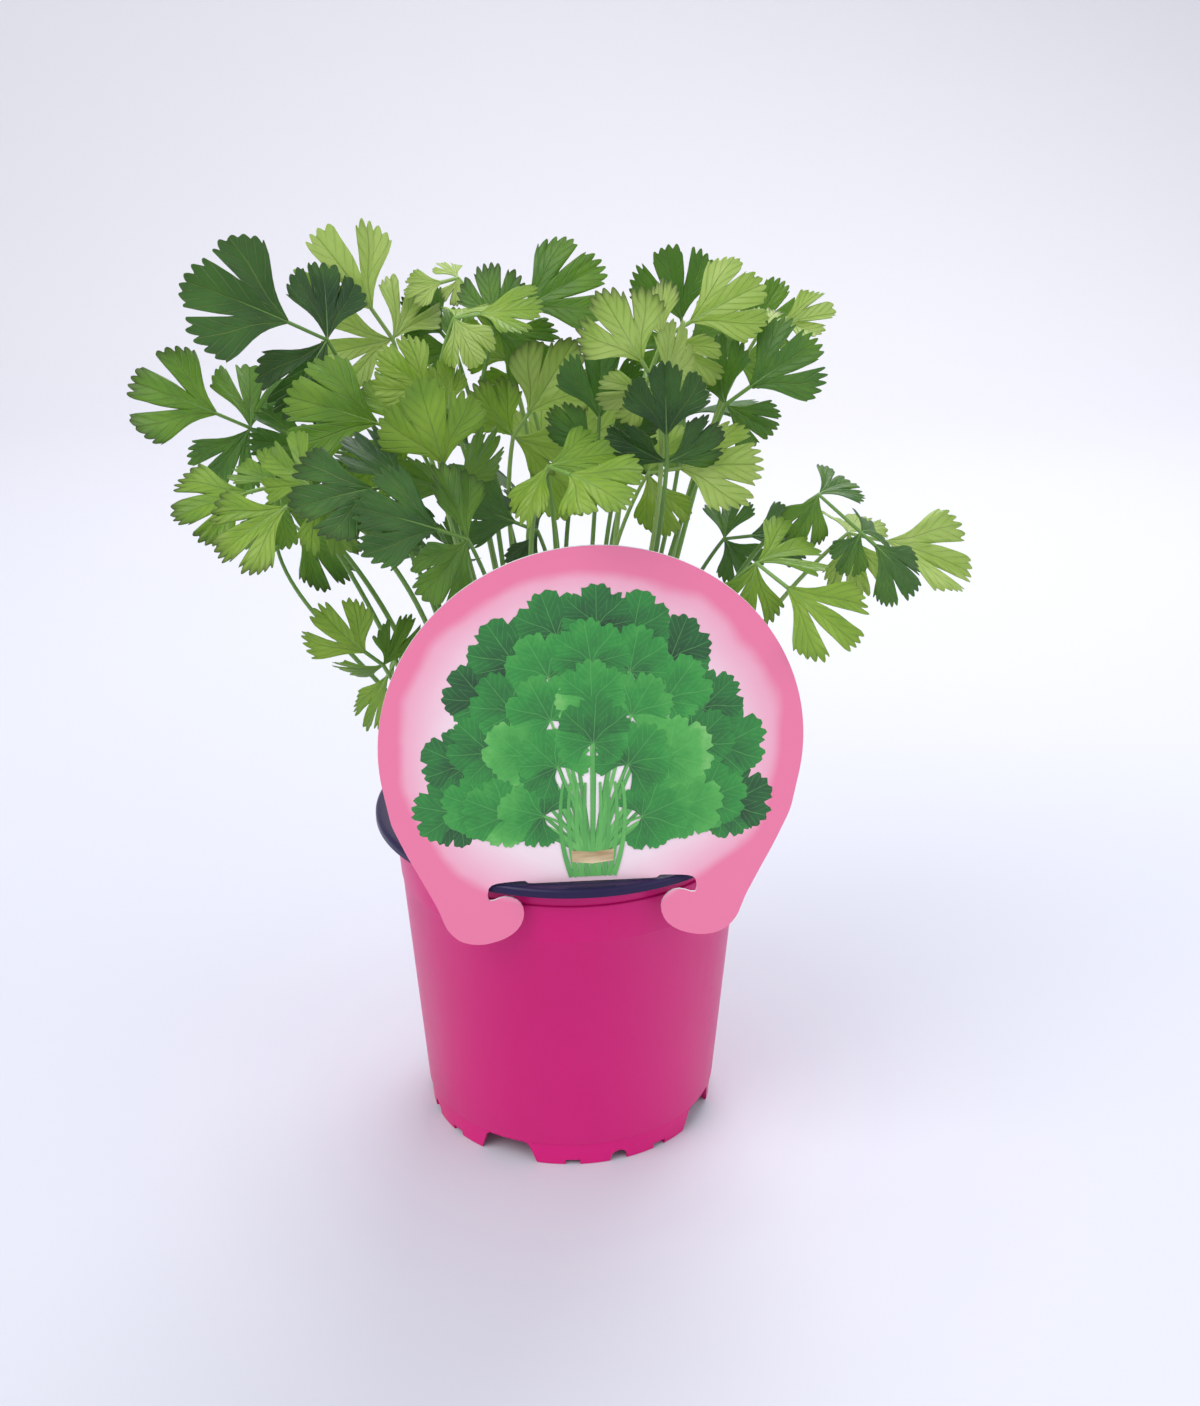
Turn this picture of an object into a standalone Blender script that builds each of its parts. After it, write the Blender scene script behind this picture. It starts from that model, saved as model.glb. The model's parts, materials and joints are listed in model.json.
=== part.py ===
import math
import random

import bmesh
import bpy
import numpy as np
from mathutils import Vector
from mathutils.bvhtree import BVHTree

# All lengths are millimetres until a mesh is made. The pot's axis is the origin's
# vertical, the floor is z = 0 and the tag hangs at the front, towards -Y.
MM = 0.001
GAP = 0.3

# Pot: a cone of thin sheet with a rolled lip, a collar band and a foot ring
POT_SIDES = 40
BASE_RADIUS = 49.6
WALL_FLARE = 0.081
WALL = 1.3
LIP_RADIUS = 65.0
LIP_TOP = 112.9
LIP_LOW_EDGE = 109.9
LIP_SHEET = 1.3
NECK_LOW_EDGE = 103.1
COLLAR_LOW_EDGE = 89.8
FOOT_TOP = 8.7
STEP = 0.45
FLOOR_UNDER = 8.9
FLOOR_TOP = 10.2
DRAIN_RADIUS = 3.5
DRAIN_CIRCLE = 28.0
DRAIN_COUNT = 6

# Foot ring notches, four of each kind, by their angle from the front
ARCH_ANGLE = -25.0
ARCH_HEIGHT = 8.0
ARCH_FOOT_WIDTH = 21.0
ARCH_TOP_WIDTH = 15.0
SLIT_ANGLES = (1.5, 38.5)
SLIT_HEIGHT = 2.0
SLIT_WIDTH = 5.0
ROUND_ANGLE = 20.0
ROUND_HEIGHT = 4.0
ROUND_WIDTH = 6.0

# Soil
SOIL_TOP = 95.0
SOIL_MOUND = 1.5
HOLE_DEPTH = 12.0
HOLE_SIDES = 6
HOLE_SPACING = 6.6
ROOT_RADIUS = 44.0
ROOT_SPREAD = 0.42

# Tag: a flat plate in an upright plane, turned a little to the right of the front
TAG_TURN = 5.6
TAG_BACK = 58.9
TAG_THICK = 0.7
TAG_SHIFT = 2.35
TAG_BASE = 100.0
DISC_CENTRE = 58.1
DISC_RADIUS = 64.4
DISC_END_ANGLE = -10.7
DISC_STEPS = 34
TAG_SIDE = (
    (61.3, 35.0), (56.7, 24.0), (52.4, 15.0), (48.2, 6.0), (45.5, -2.0), (42.0, -6.0),
    (38.0, -7.5), (33.5, -7.7), (27.6, -6.0), (23.4, -3.0), (21.5, 1.0), (21.5, 5.0),
    (23.5, 8.0), (27.0, 9.4), (32.8, 7.0), (32.5, 12.5), (30.0, 13.8), (20.5, 14.4),
    (20.5, 13.3),
)

# Leafy stems
STALK_LOW_RADIUS = 1.25
STALK_HIGH_RADIUS = 0.75
STALK_SIDES = 4
STALK_STEPS = 4
LEAF_THICK = 0.7
CLEARANCE = 0.45
NODE_BACK = 0.2
FIRST_NODE = 0.28
SECOND_NODE = 0.40
SIDE_LEAFLET = 0.82
BACK_STEMS = 5
SEED = 11
DRAWS = 40

# Each leafy stem: its node, the tip of its end leaflet, how far the leaf faces off
# the upright, which way it faces, how deep it is cut and its number of leaflet pairs
STEMS = (
    ((-78, -13, 275), (-108, -30, 294), 60, -100, 0.45, 1),
    ((-58, 12, 272), (-75, 4, 301), 55, -80, 0.70, 1),
    ((-103, -8, 246), (-130, -16, 261), 62, -95, 0.65, 1),
    ((-90, -38, 233), (-114, -50, 230), 55, -110, 0.50, 1),
    ((-76, -58, 236), (-100, -66, 223), 50, -80, 0.60, 1),
    ((-74, 0, 234), (-98, -12, 241), 60, -90, 0.50, 1),
    ((-52, -22, 247), (-80, -34, 261), 60, -95, 0.40, 1),
    ((-52, -44, 236), (-76, -62, 237), 55, -90, 0.45, 1),
    ((-94, 34, 200), (-73, 24, 185), 50, -90, 0.55, 1),
    ((-59, -40, 180), (-73, -52, 197), 60, -120, 0.60, 1),
    ((-56, -16, 164), (-67, -24, 145), 40, -150, 0.50, 1),
    ((-37, 22, 283), (-51, 18, 280), 40, -60, 0.60, 1),
    ((-17, 8, 274), (9, 2, 292), 60, -80, 0.50, 1),
    ((-29, -12, 279), (-7, -20, 284), 30, -80, 0.45, 1),
    ((-39, 32, 262), (-50, 24, 278), 50, -90, 0.45, 1),
    ((-38, -26, 257), (-53, -36, 273), 60, -95, 0.40, 1),
    ((-35, -34, 236), (-41, -46, 264), 70, -90, 0.40, 1),
    ((-16, -8, 263), (-30, -16, 278), 50, -90, 0.45, 1),
    ((-14, 4, 242), (1, -4, 266), 60, -70, 0.40, 1),
    ((-33, -53, 224), (-56, -70, 238), 58, -90, 0.40, 1),
    ((-37, -24, 204), (-64, -30, 211), 130, -90, 0.40, 1),
    ((10, -26, 248), (11, -34, 274), 65, -85, 0.40, 1),
    ((37, 22, 267), (31, 14, 294), 65, -90, 0.55, 1),
    ((34, -12, 275), (56, -22, 291), 60, -80, 0.40, 1),
    ((56, 34, 259), (68, 30, 281), 50, -70, 0.50, 1),
    ((63, 2, 272), (81, -4, 280), 35, -60, 0.60, 1),
    ((25, -18, 263), (12, -26, 287), 65, -95, 0.45, 1),
    ((52, -24, 258), (72, -34, 276), 60, -75, 0.50, 1),
    ((30, -38, 246), (29, -48, 272), 70, -90, 0.40, 1),
    ((30, -42, 239), (57, -52, 246), 50, -70, 0.40, 1),
    ((-4, 30, 224), (20, 24, 240), 60, -80, 0.40, 1),
    ((-1, -53, 243), (17, -76, 243), 45, -80, 0.40, 1),
    ((-12, -46, 222), (-31, -58, 234), 55, -100, 0.40, 1),
    ((78, -14, 224), (111, -22, 196), 55, -60, 0.50, 2),
    ((63, -34, 205), (88, -46, 188), 60, -70, 0.70, 1),
    ((98, 10, 202), (134, 10, 194), 40, -60, 0.60, 1),
    ((58, 44, 191), (84, 50, 192), 50, -90, 0.50, 1),
)


def vec(*parts):
    return np.array(parts, float)


def unit(v):
    return v / np.linalg.norm(v)


def polar(angle, length=1.0):
    """A level direction, by its angle from +X in degrees."""
    return vec(math.cos(math.radians(angle)), math.sin(math.radians(angle)), 0) * length


def coloured(name, colour, roughness):
    material = bpy.data.materials.new(name)
    material.use_nodes = True
    shader = material.node_tree.nodes["Principled BSDF"]
    shader.inputs["Base Color"].default_value = (*colour, 1)
    shader.inputs["Roughness"].default_value = roughness
    return material


def add_object(name, points, faces, material=None):
    mesh = bpy.data.meshes.new(name)
    mesh.from_pydata([tuple(p) for p in np.asarray(points, float) * MM], [], faces)
    edit = bmesh.new()
    edit.from_mesh(mesh)
    bmesh.ops.recalc_face_normals(edit, faces=edit.faces)
    edit.to_mesh(mesh)
    edit.free()
    obj = bpy.data.objects.new(name, mesh)
    bpy.context.scene.collection.objects.link(obj)
    if material:
        mesh.materials.append(material)
    return obj


def combine(body, tools, operation, solver):
    """Applies one Boolean of the body with all the tools, then removes the tools."""
    group = bpy.data.collections.new(body.name + "_tools")
    bpy.context.scene.collection.children.link(group)
    for tool in tools:
        bpy.context.scene.collection.objects.unlink(tool)
        group.objects.link(tool)
    modifier = body.modifiers.new("combine", "BOOLEAN")
    modifier.operation = operation
    modifier.operand_type = "COLLECTION"
    modifier.collection = group
    modifier.solver = solver
    graph = bpy.context.evaluated_depsgraph_get()
    result = bpy.data.meshes.new_from_object(body.evaluated_get(graph))
    body.modifiers.clear()
    body.data = result
    for tool in tools:
        bpy.data.objects.remove(tool)
    bpy.data.collections.remove(group)


def keep_outer_shell(obj):
    """Drops any closed pocket that a union leaves inside a body."""
    edit = bmesh.new()
    edit.from_mesh(obj.data)
    left = set(edit.verts)
    shells = []
    while left:
        shell = set()
        queue = [left.pop()]
        while queue:
            point = queue.pop()
            shell.add(point)
            near = {edge.other_vert(point) for edge in point.link_edges} & left
            left -= near
            queue.extend(near)
        shells.append(shell)
    shells.sort(key=len)
    for shell in shells[:-1]:
        bmesh.ops.delete(edit, geom=list(shell), context="VERTS")
    edit.to_mesh(obj.data)
    edit.free()


def smooth_round(obj, angle):
    for polygon in obj.data.polygons:
        polygon.use_smooth = True
    obj.data.set_sharp_from_angle(angle=math.radians(angle))


# A turned body from its outline of (radius, height) points, a closed loop
def turned(outline, sides):
    points = []
    rings = []
    for radius, height in outline:
        if radius == 0:
            rings.append([len(points)] * sides)
            points.append(vec(0, 0, height))
            continue
        rings.append(list(range(len(points), len(points) + sides)))
        for k in range(sides):
            points.append(polar(360 * k / sides, radius) + vec(0, 0, height))
    faces = []
    for low, high in zip(rings, rings[1:] + rings[:1]):
        for k in range(sides):
            around = (low[k], low[(k + 1) % sides], high[(k + 1) % sides], high[k])
            face = list(dict.fromkeys(around))
            if len(face) > 2:
                faces.append(face)
    return points, faces


# A straight bar of the given outline, from one place along a direction
def bar(outline, start, along, across, upward):
    points = [start + across * a + upward * b for a, b in outline]
    points += [p + along for p in points]
    count = len(outline)
    faces = [list(range(count)), list(range(2 * count - 1, count - 1, -1))]
    for k in range(count):
        after = (k + 1) % count
        faces.append([k, after, after + count, k + count])
    return points, faces


def outer_radius(height):
    return BASE_RADIUS + WALL_FLARE * height


def make_pot(material):
    neck_top = LIP_TOP - LIP_SHEET - 0.5
    foot_radius = outer_radius(0) - STEP
    inside_foot = foot_radius - WALL
    outline = (
        (outer_radius(LIP_TOP) - WALL + 1.2, LIP_TOP - 0.5),
        (LIP_RADIUS - 2.5, LIP_TOP),
        (LIP_RADIUS - 0.7, LIP_TOP - 0.4),
        (LIP_RADIUS, LIP_TOP - 1.3),
        (LIP_RADIUS - 0.1, LIP_LOW_EDGE),
        (LIP_RADIUS - LIP_SHEET, LIP_LOW_EDGE),
        (LIP_RADIUS - LIP_SHEET - 0.5, neck_top),
        (outer_radius(neck_top) - STEP, neck_top),
        (outer_radius(NECK_LOW_EDGE) - STEP, NECK_LOW_EDGE + 0.3),
        (outer_radius(NECK_LOW_EDGE) + GAP, NECK_LOW_EDGE),
        (outer_radius(COLLAR_LOW_EDGE) + GAP, COLLAR_LOW_EDGE),
        (outer_radius(COLLAR_LOW_EDGE), COLLAR_LOW_EDGE - 0.4),
        (outer_radius(FOOT_TOP), FOOT_TOP + 0.4),
        (outer_radius(FOOT_TOP) - STEP, FOOT_TOP),
        (foot_radius, 0),
        (inside_foot, 0),
        (inside_foot, FLOOR_UNDER),
        (0, FLOOR_UNDER),
        (0, FLOOR_TOP),
        (outer_radius(FLOOR_TOP) - WALL, FLOOR_TOP),
        (outer_radius(LIP_LOW_EDGE) - WALL, LIP_LOW_EDGE),
    )
    pot = add_object("pot", *turned(outline, POT_SIDES), material)
    cutters = []
    for quarter in range(4):
        for angle, shape in notch_shapes():
            outward = polar(angle - 90 + 90 * quarter)
            across = vec(-outward[1], outward[0], 0)
            start = outward * (inside_foot - 6)
            piece = bar(shape, start, outward * 14, across, vec(0, 0, 1))
            cutters.append(add_object("notch", *piece))
    drain = [(math.cos(a) * DRAIN_RADIUS, math.sin(a) * DRAIN_RADIUS)
             for a in np.linspace(0, 2 * math.pi, 10, endpoint=False)]
    for k in range(DRAIN_COUNT):
        start = polar(360 * k / DRAIN_COUNT, DRAIN_CIRCLE) + vec(0, 0, FLOOR_UNDER - 2)
        piece = bar(drain, start, vec(0, 0, 6), vec(1, 0, 0), vec(0, 1, 0))
        cutters.append(add_object("drain", *piece))
    combine(pot, cutters, "DIFFERENCE", "EXACT")
    smooth_round(pot, 35)
    return pot


def notch_shapes():
    """The outlines of the notches of one quarter, with their angles."""
    low = -2.0
    foot = ARCH_FOOT_WIDTH / 2
    head = ARCH_TOP_WIDTH / 2
    slope = (foot - head) / ARCH_HEIGHT
    arch = [(-foot + slope * low, low), (foot - slope * low, low), (head, ARCH_HEIGHT),
            (-head, ARCH_HEIGHT)]
    half = SLIT_WIDTH / 2
    slit = [(-half, low), (half, low), (half, SLIT_HEIGHT), (-half, SLIT_HEIGHT)]
    wide = ROUND_WIDTH / 2
    shoulder = ROUND_HEIGHT - wide * 0.6
    dome = [(-wide, low), (wide, low), (wide, shoulder), (wide * 0.6, ROUND_HEIGHT - 0.5),
            (0, ROUND_HEIGHT), (-wide * 0.6, ROUND_HEIGHT - 0.5), (-wide, shoulder)]
    shapes = [(ARCH_ANGLE, arch), (ROUND_ANGLE, dome)]
    shapes += [(angle, slit) for angle in SLIT_ANGLES]
    return shapes


def make_tag(material):
    outward = polar(TAG_TURN - 90)
    across = vec(-outward[1], outward[0], 0)
    angles = np.radians(np.linspace(DISC_END_ANGLE, 180 - DISC_END_ANGLE, DISC_STEPS + 1))
    outline = [(DISC_RADIUS * math.cos(a), DISC_CENTRE + DISC_RADIUS * math.sin(a))
               for a in angles]
    outline += [(-h, v) for h, v in TAG_SIDE]
    outline += list(reversed(TAG_SIDE))
    start = outward * TAG_BACK + across * TAG_SHIFT + vec(0, 0, TAG_BASE)
    piece = bar(outline, start, outward * TAG_THICK, across, vec(0, 0, 1))
    return add_object("tag", *piece, material)


# One leaflet of a cut leaf: a fan of three lobes with teeth, given by the places of
# its points as (share of the spread, share of the reach, share of the cut)
TEETH_MANY = (
    (-0.96, 0.73, 0), (-0.83, 0.75, 0.15), (-0.69, 0.89, 0), (-0.55, 0.85, 0.12),
    (-0.41, 0.94, 0), (-0.33, 0.90, 1), (-0.25, 0.96, 0), (-0.12, 0.91, 0.12),
    (0.0, 1.0, 0), (0.12, 0.91, 0.12), (0.25, 0.96, 0), (0.33, 0.90, 1),
    (0.41, 0.94, 0), (0.55, 0.85, 0.12), (0.69, 0.89, 0), (0.83, 0.75, 0.15),
    (0.96, 0.73, 0),
)
TEETH_FEW = (
    (-0.95, 0.76, 0), (-0.72, 0.80, 0.12), (-0.47, 0.93, 0), (-0.36, 0.88, 1),
    (-0.26, 0.95, 0), (-0.13, 0.91, 0.1), (0.0, 1.0, 0), (0.13, 0.91, 0.1),
    (0.26, 0.95, 0), (0.36, 0.88, 1), (0.47, 0.93, 0), (0.72, 0.80, 0.12),
    (0.95, 0.76, 0),
)


def leaf_height(reach, turn, form):
    """How far a leaflet's surface stands off its plane, in shares of its length."""
    droop, fold, wave, phase = form
    side = abs(math.sin(turn))
    ripple = math.sin(4.2 * turn + phase)
    return fold * side * reach - droop * reach * reach + wave * ripple * reach * reach


def leaflet(base, forward, normal, length, spread, cut, teeth, form, swell):
    """A leaflet whose three lobes each fan out from a place of their own near its neck."""
    across = np.cross(normal, forward)
    neck = min(0.34, 0.75 * (1 - cut))
    ring = [(-0.75, neck), (0.0, neck), (0.75, neck)]
    places = [(0.0, 0.0)] + ring
    places += [(a, r * (1 - cut * c)) for a, r, c in teeth]
    middle = []
    for share, reach in places:
        turn = math.radians(spread * share)
        high = leaf_height(reach, turn, form)
        flat = forward * math.cos(turn) * reach + across * math.sin(turn) * reach
        middle.append(base + (flat + normal * high) * length)
    middle = np.array(middle)
    rim_start = 1 + len(ring)
    count = len(teeth)
    faces = [(0, k, k + 1) for k in range(1, len(ring))]
    inner = 1
    for k in range(count - 1):
        if teeth[k][2] == 1:
            faces.append((inner, rim_start + k, inner + 1))
            inner += 1
        faces.append((inner, rim_start + k, rim_start + k + 1))
    rim = [0, 1] + list(range(rim_start, rim_start + count)) + [len(ring)]
    return plate(middle, faces, rim, LEAF_THICK / 2 + swell)


def plate(middle, faces, rim, half):
    """A closed plate about a middle surface, split alike on both faces."""
    corner = middle[np.array(faces)]
    slope = np.cross(corner[:, 1] - corner[:, 0], corner[:, 2] - corner[:, 0])
    normals = np.zeros_like(middle)
    for k in range(3):
        np.add.at(normals, np.array(faces)[:, k], slope)
    normals /= np.linalg.norm(normals, axis=1)[:, None]
    count = len(middle)
    points = np.concatenate([middle + normals * half, middle - normals * half])
    closed = [tuple(face) for face in faces]
    closed += [(a + count, c + count, b + count) for a, b, c in faces]
    for here, after in zip(rim, rim[1:] + rim[:1]):
        closed.append((here, here + count, after))
        closed.append((after, here + count, after + count))
    return points, closed


def tube(path, radii, sides):
    """A round bar along a path, closed at both ends."""
    path = np.array(path)
    points = []
    across = vec(0.9, 0.4, 0.1)
    for k, centre in enumerate(path):
        before = path[max(k - 1, 0)]
        after = path[min(k + 1, len(path) - 1)]
        along = unit(after - before)
        across = unit(across - along * across.dot(along))
        beside = np.cross(along, across)
        for j in range(sides):
            angle = 2 * math.pi * j / sides
            ray = across * math.cos(angle) + beside * math.sin(angle)
            points.append(centre + ray * radii[k])
    faces = []
    for k in range(len(path) - 1):
        for j in range(sides):
            a = k * sides + j
            b = k * sides + (j + 1) % sides
            faces.append((a, b, b + sides))
            faces.append((a, b + sides, a + sides))
    last = (len(path) - 1) * sides
    for j in range(1, sides - 1):
        faces.append((0, j + 1, j))
        faces.append((last, last + j, last + j + 1))
    return np.array(points), faces


def curve_point(ends, t):
    start, pull_out, pull_in, end = ends
    u = 1 - t
    return (start * u ** 3 + pull_out * 3 * u * u * t + pull_in * 3 * u * t * t
            + end * t ** 3)


def turn_about(v, axis, angle):
    c = math.cos(math.radians(angle))
    s = math.sin(math.radians(angle))
    return v * c + np.cross(axis, v) * s + axis * axis.dot(v) * (1 - c)


def leafy_stem(draw_seed, stem, root, push, bow, swell):
    """All the closed pieces of one leafy stem, as (points, faces), the stalk first."""
    node, tip, tilt, facing, cut, pairs = stem
    draw = random.Random(draw_seed)
    node = np.array(node, float)
    tip = np.array(tip, float)
    node = node - (tip - node) * (NODE_BACK if pairs == 1 else 0)
    away = vec((node[0] - 10) / 640, 1, -0.25)
    node = node + away * push
    tip = tip + away * push
    reach = np.linalg.norm(tip - node)
    forward = unit(tip - node)
    hint = polar(facing, math.sin(math.radians(tilt))) + vec(0, 0, math.cos(math.radians(tilt)))
    normal = unit(hint - forward * hint.dot(forward))
    foot = vec(root[0], root[1], SOIL_TOP - HOLE_DEPTH + GAP)
    start = vec(root[0], root[1], SOIL_TOP + SOIL_MOUND + 2)
    chord = node - start
    run = np.linalg.norm(chord)
    beside = unit(vec(-chord[1], chord[0], 0.001))
    entry = unit(forward * 0.6 + unit(chord) * 0.6 + vec(0, 0, 0.35))
    ends = (start, start + vec(0, 0, run * 0.36) + beside * bow,
            node - entry * run * 0.34 + beside * bow, node)
    stages = [FIRST_NODE] if pairs < 2 else [0.0, SECOND_NODE]
    path = [foot] + [curve_point(ends, k / STALK_STEPS) for k in range(STALK_STEPS + 1)]
    joint = node + forward * reach * stages[-1]
    nodes = [node] if pairs == 1 else [node, joint][:pairs]
    end_base = node + forward * reach * (FIRST_NODE if pairs < 2 else SECOND_NODE + 0.12)
    path.append(end_base + forward * 1.5)
    sizes = np.linspace(STALK_LOW_RADIUS, STALK_HIGH_RADIUS, len(path))
    pieces = [tube(path, sizes + swell, STALK_SIDES)]
    end_length = np.linalg.norm(tip - end_base)

    def blade(base, ahead, lift, length, spread, teeth):
        form = (draw.uniform(0.05, 0.30), draw.uniform(0.02, 0.28),
                draw.uniform(0.03, 0.10), draw.uniform(0, 6.28))
        pieces.append(leaflet(base, ahead, lift, length, spread, cut, teeth, form, swell))

    blade(end_base, forward, normal, end_length, draw.uniform(46, 56), TEETH_MANY)
    for place in nodes:
        for side in (-1, 1):
            angle = side * draw.uniform(60, 84)
            ahead = turn_about(forward, normal, angle)
            ahead = unit(ahead - normal * draw.uniform(0.05, 0.5))
            lift = unit(normal - ahead * normal.dot(ahead))
            lift = turn_about(lift, ahead, draw.uniform(-22, 22))
            length = min(end_length, 30) * SIDE_LEAFLET * draw.uniform(0.85, 1.08)
            blade(place + ahead * 0.15, ahead, lift, length, draw.uniform(43, 51), TEETH_FEW)
    return pieces


def tree_of(pieces):
    points = []
    faces = []
    for piece_points, piece_faces in pieces:
        offset = len(points)
        points.extend(Vector(p) for p in piece_points)
        faces.extend(tuple(i + offset for i in face) for face in piece_faces)
    return BVHTree.FromPolygons(points, faces, all_triangles=False)


def mesh_tree(obj):
    points = [v.co / MM for v in obj.data.vertices]
    faces = [tuple(p.vertices) for p in obj.data.polygons]
    return BVHTree.FromPolygons(points, faces)


def back_stems():
    """The stems behind, which fill the back of the plant by a seeded rule."""
    draw = random.Random(SEED)
    stems = []
    for k in range(BACK_STEMS):
        angle = 12 + 156 * ((k * 0.618 + 0.2) % 1)
        out = 31 + 20 * ((k * 0.382) % 1)
        height = 262 - 0.75 * out + draw.uniform(-14, 14)
        node = polar(angle, out) + vec(0, 0, height)
        ahead = unit(polar(angle + draw.uniform(-40, 40)) + vec(0, 0, draw.uniform(0, 0.7)))
        tip = node + ahead * draw.uniform(28, 34)
        stems.append((tuple(node), tuple(tip), 45, angle, draw.choice((0.4, 0.5)), 1))
    return stems


def root_places(stems):
    """Where each stalk leaves the soil: under its leaf, spread until none are close."""
    roots = [vec(stem[0][0], stem[0][1], 0) * ROOT_SPREAD for stem in stems]
    for _ in range(400):
        for i in range(len(roots)):
            for j in range(i):
                between = roots[i] - roots[j] + vec(0.001 * i, 0.001, 0)
                gap = np.linalg.norm(between)
                if gap < HOLE_SPACING:
                    move = between / gap * (HOLE_SPACING - gap) * 0.5
                    roots[i] = roots[i] + move
                    roots[j] = roots[j] - move
        for i, root in enumerate(roots):
            far = np.linalg.norm(root)
            if far > ROOT_RADIUS:
                roots[i] = root * ROOT_RADIUS / far
    return roots


def blades_apart(pieces):
    """Whether the leaflets of one leaf cross nowhere past their shared joint."""
    trees = []
    for points, faces in pieces[1:]:
        joint = (0, len(points) // 2)
        outer = [face for face in faces if not set(face) & set(joint)]
        trees.append(tree_of([(points, outer)]))
    return not any(a.overlap(b) for k, a in enumerate(trees) for b in trees[:k])


def own_draw(number, stem, root):
    """The first of a stem's seeds that keeps its leaflets apart."""
    for attempt in range(DRAWS):
        seed = SEED + 100 * number + attempt
        if blades_apart(leafy_stem(seed, stem, root, 0, 0, 0.15)):
            return seed
    print("STEM", number, "has crossing leaflets")
    return SEED + 100 * number


def settle(stems, roots, obstacles):
    """Sets each leafy stem where it clears the ones that already stand."""
    standing = list(obstacles)
    pushes = sorted(np.arange(-48, 49, 4), key=abs)
    bows = (0, 7, -7, 14, -14, 21, -21, 28, -28)
    choices = sorted((abs(p) / 4 + abs(b) / 5, -p, b) for p in pushes for b in bows)
    placed = []
    for number, (stem, root) in enumerate(zip(stems, roots)):
        seed = own_draw(number, stem, root)
        found = None
        for _, pull, bow in choices:
            tree = tree_of(leafy_stem(seed, stem, root, -pull, bow, CLEARANCE))
            if not any(tree.overlap(other) for other in standing):
                found = (seed, stem, root, -pull, bow)
                break
        placed.append(found)
        if found:
            standing.append(tree)
        else:
            print("STEM", number, "has no clear place")
    return placed


def make_soil(roots, material):
    wall = outer_radius(SOIL_TOP) - WALL - GAP
    low = FLOOR_TOP + GAP
    outline = (
        (0, SOIL_TOP + SOIL_MOUND),
        (wall, SOIL_TOP),
        (outer_radius(low) - WALL - GAP, low),
        (0, low),
    )
    soil = add_object("soil", *turned(outline, POT_SIDES), material)
    radius = STALK_LOW_RADIUS + GAP + 0.25
    hole = [(math.cos(a) * radius, math.sin(a) * radius)
            for a in np.linspace(0, 2 * math.pi, HOLE_SIDES, endpoint=False)]
    cutters = []
    for root in roots:
        start = vec(root[0], root[1], SOIL_TOP - HOLE_DEPTH)
        piece = bar(hole, start, vec(0, 0, HOLE_DEPTH + 9), vec(1, 0, 0), vec(0, 1, 0))
        cutters.append(add_object("hole", *piece))
    combine(soil, cutters, "DIFFERENCE", "EXACT")
    return soil


for leftover in list(bpy.data.objects):
    bpy.data.objects.remove(leftover)

POT = make_pot(coloured("magenta plastic", (0.63, 0.02, 0.20), 0.35))
TAG = make_tag(coloured("pink printed plastic", (0.84, 0.25, 0.42), 0.4))
ALL_STEMS = list(STEMS) + back_stems()
ROOTS = root_places(ALL_STEMS)
PLACES = settle(ALL_STEMS, ROOTS, (mesh_tree(POT), mesh_tree(TAG)))
make_soil(ROOTS, coloured("potting soil", (0.03, 0.018, 0.01), 0.95))
for NUMBER, PLACE in enumerate(PLACES):
    if PLACE is None:
        continue
    NAME = f"leafy_stem_{NUMBER + 1:02d}"
    GREEN = coloured(NAME + " green", (0.12, 0.28 + 0.004 * NUMBER, 0.04), 0.5)
    PARTS = [add_object(NAME if k == 0 else "blade", *piece, GREEN) for k, piece in
             enumerate(leafy_stem(*PLACE, 0.0))]
    combine(PARTS[0], PARTS[1:], "UNION", "MANIFOLD")
    keep_outer_shell(PARTS[0])
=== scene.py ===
import json
import math
import random

import bmesh
import bpy
import numpy as np
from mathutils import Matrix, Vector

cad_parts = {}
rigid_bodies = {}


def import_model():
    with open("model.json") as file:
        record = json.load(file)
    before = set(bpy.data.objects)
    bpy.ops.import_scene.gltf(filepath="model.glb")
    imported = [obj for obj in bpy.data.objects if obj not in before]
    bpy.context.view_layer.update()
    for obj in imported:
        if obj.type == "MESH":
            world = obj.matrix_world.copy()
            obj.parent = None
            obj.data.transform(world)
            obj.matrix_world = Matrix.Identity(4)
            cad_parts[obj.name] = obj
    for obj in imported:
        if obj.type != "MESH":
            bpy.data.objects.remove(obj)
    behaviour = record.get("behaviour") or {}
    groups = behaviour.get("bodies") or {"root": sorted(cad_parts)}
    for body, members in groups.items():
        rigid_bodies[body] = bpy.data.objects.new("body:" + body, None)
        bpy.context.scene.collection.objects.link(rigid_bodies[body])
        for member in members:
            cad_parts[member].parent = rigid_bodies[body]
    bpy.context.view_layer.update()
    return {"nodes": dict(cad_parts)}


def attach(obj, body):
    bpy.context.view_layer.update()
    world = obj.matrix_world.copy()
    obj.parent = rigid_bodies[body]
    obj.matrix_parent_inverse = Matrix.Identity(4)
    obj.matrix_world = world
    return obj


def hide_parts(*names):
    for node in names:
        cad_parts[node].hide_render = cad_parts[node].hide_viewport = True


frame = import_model()

# Lengths are millimetres until a mesh is made
MM = 0.001

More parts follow.
